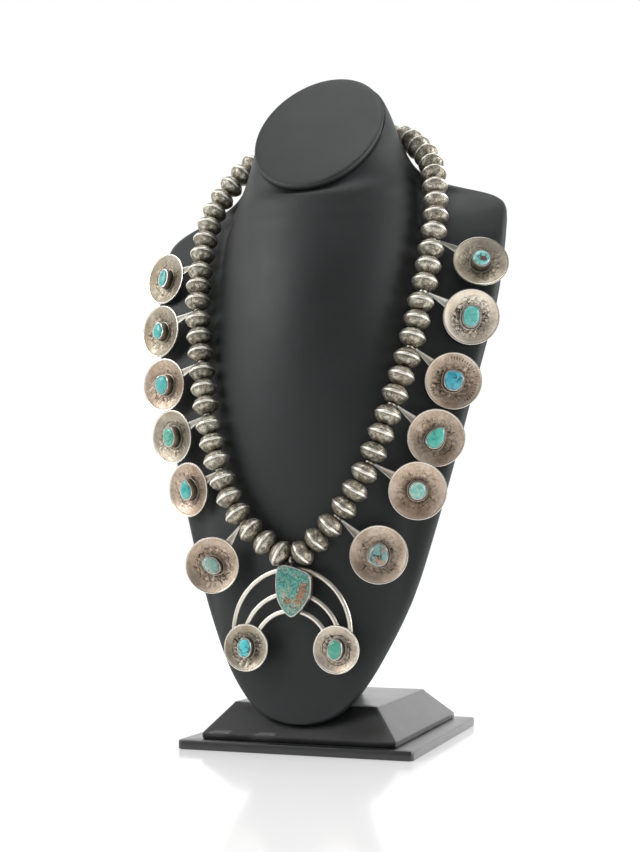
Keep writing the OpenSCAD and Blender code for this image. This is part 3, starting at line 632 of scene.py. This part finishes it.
def box_rings(levels):
    rings = [rounded_ring(*level) for level in levels]
    bottom = closed_to_middle(rings[0])[::-1]
    top = closed_to_middle(rings[-1])
    return np.array(bottom + rings + top)


def leather_box(levels, seed, pucker=0.12):
    """A wrapped board: its edges are a little uneven where the covering is drawn round."""
    rings = box_rings(levels)
    waves = Waves(seed, 5, 16)
    near = lambda z, reach: np.clip(1 - np.abs(rings[..., 2] - z) / reach, 0, 1)
    edge = near(levels[-1][3], 2.5) + near(levels[0][3], 1.5)
    middle = np.array([0, levels[0][4] if len(levels[0]) > 4 else 0, 0])
    outward = rings - middle
    outward[..., 2] = 0
    outward /= np.linalg.norm(outward, axis=-1, keepdims=True) + 1e-9
    rings -= outward * (pucker * edge * (0.5 + 0.5 * waves(rings)))[..., None]
    return Shape().grid(rings, 0.5)


def build_base():
    t, e = SLAB["t"], 0.7
    # inset and height of the slab's rings, over its two rounded edges
    rings = [(e, 0), (0.3 * e, 0.3 * e), (0, e), (0, t / 2), (0, t - e), (0.3 * e, t - 0.3 * e), (e, t)]
    levels = [(SLAB["w"] - 2 * inset, SLAB["d"] - 2 * inset, SLAB["r"], z) for inset, z in rings]
    mesh_object("slab_cover", leather_box(levels, 3), BASE_LEATHER, STAND, ["base_slab"])
    b, e = BLOCK, 0.8
    z0, z1, foot = t, t + b["h"], t + b["edge"]

    def level(share, z, inset=0.0):
        w = b["w"] + (b["top_w"] - b["w"]) * share - 2 * inset
        d = b["d"] + (b["top_d"] - b["d"]) * share - 2 * inset
        return (w, d, b["r"], z, -b["lean"] * share)

    levels = [level(0, z0, e), level(0, z0 + 0.3 * e, 0.3 * e), level(0, z0 + e), level(0, foot)]
    levels += [level(s, foot + (z1 - e - foot) * s) for s in (0.15, 0.3, 0.45, 0.6, 0.75, 0.9, 0.97)]
    levels += [level(1, z1 - 0.3 * e, 0.3 * e), level(1, z1, 1.4 * e)]
    cover = leather_box(levels, 8, 0.2)
    mesh_object("block_cover", cover, BASE_LEATHER, STAND, ["base_block"])


def depth(share):
    return BUST_BACK - share * BUST_D


CAP_Y = depth(CAP_DEPTH)
CAP_Z = TIP_Z + BUST_H - CAP_L / 2 * math.sin(CAP_SLOPE)
BLOCK_TOP = SLAB["t"] + BLOCK["h"] + SEAT


def even_ring(corners, count=180, spread=1.4):
    """The closed outline resampled evenly and softened at its corners."""
    p = np.vstack([corners, corners[:1]])
    s = np.r_[0, np.cumsum(np.linalg.norm(np.diff(p, axis=0), axis=1))]
    at = np.linspace(0, s[-1], count, endpoint=False)
    ring = np.c_[np.interp(at, s, p[:, 0]), np.interp(at, s, p[:, 1])]
    reach = np.arange(-4, 5)
    weight = np.exp(-0.5 * (reach / spread) ** 2)
    weight /= weight.sum()
    return sum(np.roll(ring, k, axis=0) * v for k, v in zip(reach, weight))


def bust_outline(row):
    _, _, w, edge, a, front, full, back, taper = row
    w, a = w * BUST_W / 2, a * BUST_W / 2
    edge, front, back = depth(edge), depth(front), depth(back)
    rim = min(RIM_T, 2.5 + 0.6 * (w - a))
    valley, behind = edge - WING_SLOPE * (w - a), edge + rim
    t = np.radians(np.linspace(-90, 90, 61))
    chest = np.c_[a * np.sin(t), valley + (front - valley) * np.cos(t) ** (2 * full)]
    wing = (edge + valley) / 2 - WING_BULGE * (w - a)
    u = np.radians(np.linspace(0, 180, 41))[1:-1]
    spine = np.c_[w * np.cos(u), behind + (back - behind) * np.sin(u) ** (2 * taper)]
    left = [(-w, edge), (-(a + w) / 2, wing)]
    right = [((a + w) / 2, wing), (w, edge), (w, behind)]
    return even_ring(np.vstack([left, chest, right, spine, [(-w, behind)]]))


def even_rows(table, spread, reach=10):
    """The rows of a table blended with their neighbours, its first and last rows kept."""
    before = 2 * table[0] - table[reach:0:-1]
    after = 2 * table[-1] - table[-2:-reach - 2:-1]
    rows = np.vstack([before, table, after])
    weight = np.exp(-0.5 * (np.arange(-reach, reach + 1) / spread) ** 2)
    weight /= weight.sum()
    return sum(rows[k:k + len(table)] * v for k, v in enumerate(weight))


def build_bust():
    rows = [list(r) for r in SECTIONS]
    reach = CAP_L / 2 * math.cos(CAP_SLOPE)
    share = lambda y: (BUST_BACK - y) / BUST_D
    top = [(CAP_Z - TIP_Z) / BUST_H, 1.0, (CAP_W / 2 + 0.6) / (BUST_W / 2), CAP_DEPTH,
           CAP_W / BUST_W, share(CAP_Y - reach), 0.5, share(CAP_Y + reach), 0.5]
    # the last section lies on the panel's plane, whose pivot is the panel's own middle
    top[0] += math.tan(CAP_SLOPE) * (depth(PIVOT) - CAP_Y) / BUST_H
    table = np.array(rows + [top])
    dense = smooth_path(table, 6)
    dense = np.hstack([even_rows(dense[:, :3], 2.0), even_rows(dense[:, 3:], 3.5)])
    block_share = (BLOCK_TOP - TIP_Z) / BUST_H
    # the foot of the bust follows the block's front slope
    lean = (BLOCK["d"] / 2 - BLOCK["lean"] - BLOCK["top_d"] / 2) / (BLOCK["h"] - BLOCK["edge"] + SEAT)
    slope_y = lambda z: -(BLOCK["d"] / 2 + SEAT) + (z - SLAB["t"] - BLOCK["edge"]) * lean

    def ring_of(row, in_front):
        outline = bust_outline(row)
        z = TIP_Z + row[0] * BUST_H + row[1] * math.tan(CAP_SLOPE) * (outline[:, 1] - depth(PIVOT))
        rise = SHOULDER_RISE * np.interp(row[0], [0.6, 0.7, 0.8, 0.84, 0.87], [0, 1, 1, 0.35, 0])
        z += rise * (np.maximum(0, outline[:, 0]) / (BUST_W / 2)) ** 1.5
        if in_front:
            outline[:, 1] = np.minimum(outline[:, 1], slope_y(TIP_Z + row[0] * BUST_H))
        return np.c_[outline, z]

    k = int(np.searchsorted(dense[:, 0], block_share))
    f = (block_share - dense[k - 1][0]) / (dense[k][0] - dense[k - 1][0])
    at_block = dense[k - 1] + (dense[k] - dense[k - 1]) * f
    rings = [ring_of(r, True) for r in dense[:k]] + [ring_of(at_block, True), ring_of(at_block, False)]
    rings += [ring_of(r, False) for r in dense[k:]]
    foot = closed_to_middle(rings[0], 4)[::-1]
    cover = Shape().grid(np.array(foot + rings + closed_to_middle(rings[-1], 4)))
    mesh_object("bust_cover", cover, BUST_LEATHER, STAND, ["neck_bust"], math.radians(50))


def build_cap():
    c, s = math.cos(CAP_SLOPE), math.sin(CAP_SLOPE)
    place = Place((0, CAP_Y, CAP_Z), (1, 0, 0), (0, c, s), (0, -s, c)).moved((0, 0, SEAT))
    # how far outside the panel's outline and how high, over its rounded edge
    profile = [(-6, 0), (-0.8, 0), (-0.2, 0.1), (0, 0.28), (0, 0.66), (-0.25, 0.82), (-0.9, 0.93),
               (-2.4, 0.98), (-5, 1.0)]
    cx, sx = circle(160)
    oval = lambda half_w, half_l, z: np.c_[half_w * cx, half_l * sx, np.full(160, z)]
    rings = [oval(0.05, 0.05, 0)]
    rings += [oval(CAP_W / 2 + offset, CAP_L / 2 + offset, height * CAP_T) for offset, height in profile]
    for share in (0.75, 0.6, 0.45, 0.3, 0.15, 0.002):
        rings.append(oval(share * CAP_W / 2, share * CAP_L / 2, CAP_T * (1.05 - 0.05 * (share / 0.87) ** 2)))
    cover = Shape().grid(place(np.array(rings)))
    mesh_object("cap_cover", cover, CAP_LEATHER, STAND, ["neck_cap"])


# Beads

# One half of a bead from its hole to its ridge: share of its radius and of half its length
BEAD_PROFILE = [
    (0.14, 0.9), (0.14, 0.99), (0.18, 1.0), (0.26, 0.985), (0.36, 0.95), (0.47, 0.9), (0.58, 0.82),
    (0.69, 0.71), (0.79, 0.575), (0.87, 0.435), (0.918, 0.3), (0.938, 0.2), (0.95, 0.14),
    (0.98, 0.095), (1.0, 0.06), (1.0, 0.0),
]


def bead_rings(seed, around=56):
    """One bead around Z with low worn relief on its domes, as points and tones."""
    rng = np.random.default_rng(seed)
    half = np.array(BEAD_PROFILE)
    profile = np.vstack([half, half[-2::-1] * [1, -1]])
    cx, sx = circle(around)
    p = turned(profile * [BEAD_D / 2, BEAD_L / 2], cx, sx)
    relief = Waves(seed * 7 + 1, 2.2, 5.0)(p, 2.2)
    share = profile[:, 0]
    mask = bump_window(share, 0.2, 0.95, 0.1)[:, None]
    scale = 1 + 0.018 * relief * mask
    p[..., :2] *= scale[..., None]
    p[..., 2] *= 1 + 0.02 * relief * mask
    ridge = np.clip((share - 0.942) / 0.03, 0, 1)[:, None]
    hole = np.clip((0.34 - share) / 0.18, 0, 1)[:, None]
    groove = np.exp(-(((share - 0.932) / 0.018) ** 2))[:, None]
    tone = 0.46 + 0.16 * relief * mask + 0.6 * ridge - 0.4 * hole - 0.16 * groove + rng.uniform(-0.07, 0.07)
    return p, tone


def build_beads():
    for side, word in ((1, "right"), (-1, "left")):
        shape = Shape()
        for k in range(BEADS):
            a, b = on_thread(side, bead_start(k)), on_thread(side, bead_start(k) + BEAD_L)
            z = unit(b - a)
            x = across(np.array([0, -1.0, 0]), z)
            y = np.cross(z, x)
            # each bead is turned 0.7 radians further than the one before it
            c, s = math.cos(0.7 * k), math.sin(0.7 * k)
            place = Place((a + b) / 2, x * c + y * s, y * c - x * s, z)
            p, tone = bead_rings(100 * (side + 2) + k)
            shape.grid(place(p), tone, flip=True)
        mesh_object(f"beads_{word}", shape, BEAD_SILVER, STAND, [f"bead_string_{word}"])


# Coins, bezels and stones

def outline(s, grow=0.0, count=72):
    """A stone's outline, anticlockwise: oval to squarish, egg shaped and leaning."""
    t = np.arange(count) * 2 * math.pi / count
    c, n = np.cos(t), np.sin(t)
    x = (s[0] / 2 + grow) * np.sign(c) * np.abs(c) ** (2 / s[2]) * (1 + s[3] * n)
    y = (s[1] / 2 + grow) * np.sign(n) * np.abs(n) ** (2 / s[2])
    a = math.radians(s[4])
    return np.c_[x * math.cos(a) + y * math.sin(a), y * math.cos(a) - x * math.sin(a)]


def main_outline(grow=0.0, cuts=3):
    p = np.array(MAIN_OUTLINE[::-1], float)
    for _ in range(cuts):
        q = np.roll(p, -1, axis=0)
        p = np.stack([p + (q - p) * 0.25, p + (q - p) * 0.75], 1).reshape(-1, 2)
    return p * [NAJA_STONE_W / 2 + grow, NAJA_STONE_H / 2 + grow]


def at_height(flat, z, scale=1.0):
    return np.c_[flat * scale, np.broadcast_to(z, len(flat))]


def stone_shape(place, flat, floor, rim, seed):
    """A low cabochon that isn't quite even."""
    steps = [(0.6, floor), (1, floor), (1, rim - 0.3), (0.985, rim + CROWN * 0.1), (0.95, rim + CROWN * 0.3),
             (0.88, rim + CROWN * 0.52), (0.78, rim + CROWN * 0.7), (0.65, rim + CROWN * 0.84),
             (0.5, rim + CROWN * 0.93), (0.34, rim + CROWN * 0.98), (0.17, rim + CROWN), (0.003, rim + CROWN)]
    rings = np.array([at_height(flat, z, k) for k, z in steps])
    uneven = Waves(seed, 4, 9)(rings) * 0.12
    high = np.clip((rings[..., 2] - rim) / CROWN, 0, 1)
    rings[..., 2] += uneven * high - 0.1 * high
    return Shape().grid(place(rings))


def walls(shape, place, rows):
    """A surface through rows of an outline, its height and its tone."""
    p = np.array([at_height(flat, z) for flat, z, _ in rows])
    return shape.grid(place(p), np.array([tone for *_, tone in rows])[:, None])


def bezel_shape(place, inside, outside, floor, base, rim, seed, teeth=0):
    """A thin wall around the stone, its lip rubbed over the stone a little unevenly."""
    n = len(inside)
    wobble = Waves(seed, 3, 7)
    lip = 0.1 * wobble(at_height(outside, 0.0))
    t = np.arange(n) * 2 * math.pi / n
    saw = 0.22 * (np.abs(((t * teeth / math.pi) % 2) - 1) - 0.5) if teeth else 0.0
    middle = (inside + outside) / 2
    return walls(Shape(), place, [
        (outside, base, 0.08), (outside, base + 0.5 * (rim - base), 0.32),
        (outside * 0.995, rim - 0.25 + lip, 0.7), (middle + (outside - middle) * 0.4, rim + lip + saw, 1.05),
        (inside * 0.985, rim + 0.02 + lip + saw, 0.95), (inside, rim - 0.5, 0.25), (inside, floor, 0.1),
    ])


def coin_rows(d, dish, inner):
    """Profile of a dished coin from the back's middle round the rim to the front's middle."""
    big, thick = d / 2, DISC_T
    inside = big - RIM_W
    r = (inside**2 + dish**2) / (2 * dish)
    sphere = lambda rho, radius: r - dish - np.sqrt(radius**2 - rho**2)
    back = np.linspace(0.02, big - 0.25, 16)
    rows = [(rho, sphere(rho, r + thick), 0.35) for rho in back]
    edge = sphere(big, r + thick)
    rows += [(big - 0.06, edge + 0.12, 0.5), (big, edge + 0.3, 0.7), (big, -0.2, 0.85), (big - 0.09, -0.03, 1.0),
             (big - 0.3, 0.03, 1.1), (inside + 0.1, 0.0, 1.0), (inside - 0.05, -0.1, 0.75)]
    front = np.linspace(inside - 0.25, inner, 44)
    return np.array(rows), np.array([(rho, sphere(rho, r), 0.5) for rho in front])


def coin_shape(shape, place, d, dish, s, seed, worn, dark, around=176):
    """A dished coin: bright thin rim, worn relief around the bezel, dark hollow at its foot."""
    inner = min(s[0], s[1]) / 2 - 0.6
    shell, front = coin_rows(d, dish, inner)
    rows = np.vstack([shell, front])
    cx, sx = circle(around)
    big = d / 2
    p = turned(rows, cx, sx)
    share = rows[:, :1] / big * np.ones(around)
    theta = np.arctan2(sx, cx)[None, :]
    is_front = (np.arange(len(rows)) >= len(shell))[:, None]
    figure = Waves(seed, 1.4, 4.0, 20)(p, 2.4)
    outlines = np.exp(-((figure / 0.4) ** 2))
    broad = Waves(seed + 5, 7, 16, 10)(p)
    leaf = np.sin(theta * 17 + 9 * share + 2.0 * broad)
    window = bump_window(share, 0.36 + 0.05 * broad, 0.74 + 0.1 * broad, 0.09) * is_front
    wreath = window * (0.65 * figure + 0.35 * np.tanh(2 * leaf)) * worn
    field = bump_window(share, 0.7, 0.9, 0.05) * is_front * 0.3 * figure
    p[..., 2] += 0.17 * wreath + 0.03 * field + 0.03 * broad * is_front
    foot = np.clip((0.55 - share) / 0.25, 0, 1) * is_front
    tone = rows[:, 2:3] + 0.1 * wreath - 0.34 * worn * window * outlines
    tone = tone + 0.05 * field + 0.06 * broad * is_front - dark * foot * (0.3 + 0.1 * broad)
    shape.grid(place(p), tone, 0.5 + p[..., :2] / d)
    # the stepped foot of the bezel
    step = outline(s, BEZEL_WALL + BEZEL_STEP)
    wall = outline(s, BEZEL_WALL)
    top = BEZEL_FLOOR - 0.2 - dish
    walls(shape, place, [(step, -dish - 0.1, 0.1), (step, top - 0.25, 0.3), (step * 0.985, top - 0.04, 0.55),
                         (step * 0.95, top, 0.45), (wall * 1.01, top + 0.03, 0.1)])


def seated_stone(place, s, dish, cup_seed, gem_seed, teeth=0):
    """The bezel on a dished coin and the stone in it."""
    floor, rim = BEZEL_FLOOR - dish, s[5] - dish
    cup = bezel_shape(place, outline(s), outline(s, BEZEL_WALL), floor, floor - 0.2, rim, cup_seed, teeth)
    return cup, stone_shape(place, outline(s, -STONE_GAP), floor + STONE_GAP, rim, gem_seed)


def lathe(shape, place, profile, tone, around=20):
    shape.grid(place(turned(np.array(profile, float), *circle(around))), tone)


def eye_ring(shape, place, d, bore, t):
    r, b, h, e = d / 2, bore / 2, t / 2, 0.2
    profile = [(b, -h + e), (b + e, -h), (r - e, -h), (r, -h + e), (r, h - e), (r - e, h), (b + e, h),
               (b, h - e), (b, -h + e)]
    lathe(shape, place, profile, 0.5, 40)


def strap_shape(shape, place):
    """The shank: narrow at its neck, wide at the coin, with raised edges and a dark hollow."""
    rim = SHANK_L - SHANK_NECK - DISC_D / 2
    # from the middle of the strap to its underside: how far out, how high and its tone
    right = [(0, 0.35, 0.42), (0.4, 0.5, 0.5), (0.66, 0.85, 0.62), (0.86, 1, 0.74), (0.97, 0.85, 0.66),
             (1, 0, 0.5), (1, -1, 0.3)]
    columns = [(-c, h, tone) for c, h, tone in right[:0:-1]] + right
    rows, tones = [], []
    for k in range(13):
        x = -0.3 + (rim + 1.1 + 0.3) * k / 12
        share = np.clip(x / rim, 0, 1)
        half = SHANK_TIP / 2 + (SHANK_END - SHANK_TIP) / 2 * share**1.15
        hollow = np.clip(share * 1.6, 0, 1)
        height = lambda h: SHANK_T / 2 * (h if h < 0 else 1 - hollow + hollow * h)
        rows.append([(x, c * half, height(h)) for c, h, _ in columns])
        tones.append([0.75 * (1 - hollow) + hollow * tone for *_, tone in columns])
    shape.grid(place(np.array(rows)), np.array(tones))


# Each coin's silver, how deep its worn relief is and how dark the foot of its bezel
COIN_LOOKS = {
    "r1": (COIN_GREY, 0.55, 0.7), "r2": (COIN_PALE, 1.4, 1.3), "r3": (COIN_STRUCK, 0.9, 1.1),
    "r4": (COIN_WARM, 0.6, 0.9), "r5": (COIN_TAN, 0.5, 1.3), "r6": (COIN_WARM, 0.5, 1.0),
    "l1": (COIN_GREY, 0.7, 0.9), "l2": (COIN_GREY, 0.8, 0.9), "l3": (COIN_WARM, 0.7, 1.0),
    "l4": (COIN_GREY, 0.8, 0.9), "l5": (COIN_WARM, 0.9, 1.1), "l6": (COIN_WARM, 0.9, 0.9),
}


def build_blossoms():
    for side, letter in ((1, "r"), (-1, "l")):
        for j in range(BLOSSOMS):
            word = f"{letter}{BLOSSOMS - j}"
            seed = 31 * j + (7 if side > 0 else 400)
            look, worn, dark = COIN_LOOKS[word]
            eye, neck, strap, coin = blossom_places(side, j)
            s = STONES[side][j]
            shape = Shape()
            coin_shape(shape, coin, DISC_D, DISC_DISH, s, seed, worn, dark)
            eye_ring(shape, eye, EYE_D, BORE, SHANK_T)
            r = SHANK_TIP / 2
            lathe(shape, neck, [(r, EYE_D / 2 - 0.4), (r, SHANK_NECK)], 0.6)
            ball = r + 0.15
            half_circle = [(max(ball * math.sin(a), 0.01), SHANK_NECK - ball * math.cos(a))
                           for a in np.linspace(0, math.pi, 9)]
            lathe(shape, neck, half_circle, 0.7)
            strap_shape(shape, strap)
            mesh_object(f"coin_{word}", shape, look, STAND, [f"blossom_{word}"])
            # the bezel of r5 has a toothed lip
            cup, gem = seated_stone(coin, s, DISC_DISH, seed, seed + 1, teeth=22 if word == "r5" else 0)
            mesh_object(f"bezel_{word}", cup, BRIGHT, STAND)
            mesh_object(f"gem_{word}", gem, STONE_LOOKS[f"stone_{word}"], STAND, [f"stone_{word}"])


# Naja

NAJA_PLACE = Place(HANG + [0, NAJA_BACK, 0], (1, 0, 0), (0, 0, 1), (0, -1, 0))


def arc_wire(shape, radius, top, end, seed):
    """A hammered wire bent to an arc, its ends closed."""
    a = np.radians(np.linspace(end, 180 - end, 90))
    waves = Waves(seed, 3, 9, 10)
    cx, sx = circle(20)
    flat, rows = 0.94, []
    for k, t in enumerate(a):
        # the first and last two rings close the ends
        grow = {0: 0.02, 1: 0.75}.get(min(k, len(a) - 1 - k), 1.0)
        w = WIRE_D / 2 * grow * (1 + 0.025 * waves(np.array([radius * math.cos(t), radius * math.sin(t), 0])))
        out = radius + w * cx
        rows.append(np.c_[out * math.cos(t), top - radius + out * math.sin(t), flat * w * sx])
    ring = np.arange(len(a))[:, None]
    ends = np.exp(-(ring / 5.0) ** 2) + np.exp(-((ring - len(a)) / 5.0) ** 2)
    # painted shade: each wire's tone is lighter on its front face and darker round its sides to its back, as a
    # round wire lit from the front looks, with some oxide on its sides; it is also darker towards the wire's ends
    shape.grid(NAJA_PLACE(np.array(rows)), 0.62 + 0.3 * sx - 0.35 * ends, flip=True)


def build_naja():
    wires = Shape()
    wire_top = -BAIL_D / 2 - BAIL_POST - WIRE_D / 2
    arc_wire(wires, NAJA_R, wire_top, OUTER_WIRE_END, 11)
    for k, (radius, drop, end) in enumerate(WIRES):
        arc_wire(wires, radius, -drop, end, 12 + k)
    bail = Place(HANG, (0, 1, 0), (0, 0, 1), (1, 0, 0))
    eye_ring(wires, bail, BAIL_D, BAIL_BORE, BAIL_T)
    r = BAIL_T / 2 - 0.05
    lathe(wires, Place(HANG, (1, 0, 0), (0, 1, 0), (0, 0, 1)), [(r, wire_top), (r, -BAIL_D / 2 + SOLDER)], 0.4)
    mesh_object("naja_wires", wires, WIRE_SILVER, NAJA, ["naja"])
    main = NAJA_PLACE.moved((*MAIN_STONE_AT, -BEZEL_BACK))
    cup = bezel_shape(main, main_outline(), main_outline(BEZEL_WALL), BEZEL_FLOOR, 0.0, NAJA_BEZEL_H, 21)
    back = np.array([at_height(main_outline(BEZEL_WALL), 0.0, share) for share in (1, 0.5, 0.01)])
    cup.grid(main(back), 0.4, flip=True)
    mesh_object("naja_bezel", cup, BRIGHT, NAJA)
    gem = stone_shape(main, main_outline(-STONE_GAP), BEZEL_FLOOR + STONE_GAP, NAJA_BEZEL_H, 22)
    mesh_object("naja_gem", gem, STONE_LOOKS["naja_stone"], NAJA, ["naja_stone"])
    for side, word, look, worn in ((-1, "left", COIN_GREY, 1.2), (1, "right", COIN_RINGED, 0.7)):
        place = NAJA_PLACE.moved((side * NAJA_HALF, -NAJA_DROP, NAJA_COIN_LIFT))
        s = STONE_NAJA[side]
        shape = Shape()
        coin_shape(shape, place, NAJA_DISC_D, NAJA_DISH, s, 501 + side, worn, 0.8)
        mesh_object(f"naja_coin_{word}", shape, look, NAJA)
        cup, gem = seated_stone(place, s, NAJA_DISH, 40 + side, 44 + side)
        mesh_object(f"naja_cup_{word}", cup, BRIGHT, NAJA)
        stone = f"naja_stone_{word}"
        mesh_object(f"naja_gem_{word}", gem, STONE_LOOKS[stone], NAJA, [stone])


def dress_kept_nodes():
    """The thread and the clasp stay as they are in the CAD, with materials of their own."""
    thread, tree, shader = new_material("waxed_thread", 0.8, color=(0.02, 0.018, 0.015))
    put(shader["Normal"], bump(noise(tree, 2500, 3), 0.05))
    for word, material in (("thread", thread), ("clasp", WIRE_SILVER)):
        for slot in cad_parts[word].material_slots:
            slot.material = material


# Floor, light and camera

def build_stage():
    bpy.ops.mesh.primitive_plane_add(size=12, location=(0, 0, 0))
    floor = bpy.context.object
    floor.name = "floor"
    material, tree, shader = new_material("white_floor", color=(0.8, 0.8, 0.8))
    put(shader["Roughness"], ramp(noise(tree, 4, 2), (0.3, 0.1), (0.7, 0.14)))
    put(shader["Emission Color"], (1, 1, 1))
    put(shader["Emission Strength"], 0.28)
    floor.data.materials.append(material)
    world = bpy.data.worlds.new("white_room")
    scene.world = world
    world.use_nodes = True
    # white in front of the camera and darker behind it, for the shadows on leather and silver
    right, back, up = parts(node(world.node_tree, "TexCoord", output="Generated"))
    white = ramp(abs(right) * 0.12 + (back * 0.5 + 0.5), (0.1, 0.2), (0.42, 0.34), (0.62, 1.0))
    above = ramp(up, (0.48, 1.0), (0.95, 0.45))
    background = world.node_tree.nodes["Background"].inputs
    put(background["Color"], mix(1.0, white, above, "MULTIPLY"))
    put(background["Strength"], 1.0)
    # square lights: name, place and size in metres, power in watts
    lights = (("key", (-1.2, -1.0, 1.0), 1.0, 14), ("side", (1.6, 0.1, 0.7), 0.9, 13),
              ("top", (0, -0.1, 2.0), 1.2, 11))
    for name, place, size, power in lights:
        data = bpy.data.lights.new(name, "AREA")
        data.size, data.energy = size, power
        light = bpy.data.objects.new(name, data)
        light.location = place
        light.rotation_euler = (Vector((0, 0, 0.18)) - Vector(place)).to_track_quat("-Z", "Y").to_euler()
        scene.collection.objects.link(light)


def build_camera():
    """The photo's camera, fitted to the corners of the base."""
    eye, target = Vector((0.21916, -0.65718, 0.09588)), Vector((-0.009414, 0, 0.172433))
    forward = (target - eye).normalized()
    right = forward.cross(Vector((0, 0, 1))).normalized()
    up = right.cross(forward)
    data = bpy.data.cameras.new("camera")
    data.sensor_width, data.sensor_fit = 36, "AUTO"
    data.lens = 51.97
    data.clip_start, data.clip_end = 0.01, 50
    camera = bpy.data.objects.new("camera", data)
    turn = Matrix((right, up, -forward)).transposed()
    camera.matrix_world = Matrix.Translation(eye) @ turn.to_4x4()
    scene.collection.objects.link(camera)
    scene.camera = camera
    scene.view_settings.view_transform = "Standard"


build_base()
build_bust()
build_cap()
build_beads()
build_blossoms()
build_naja()
dress_kept_nodes()
build_stage()
build_camera()
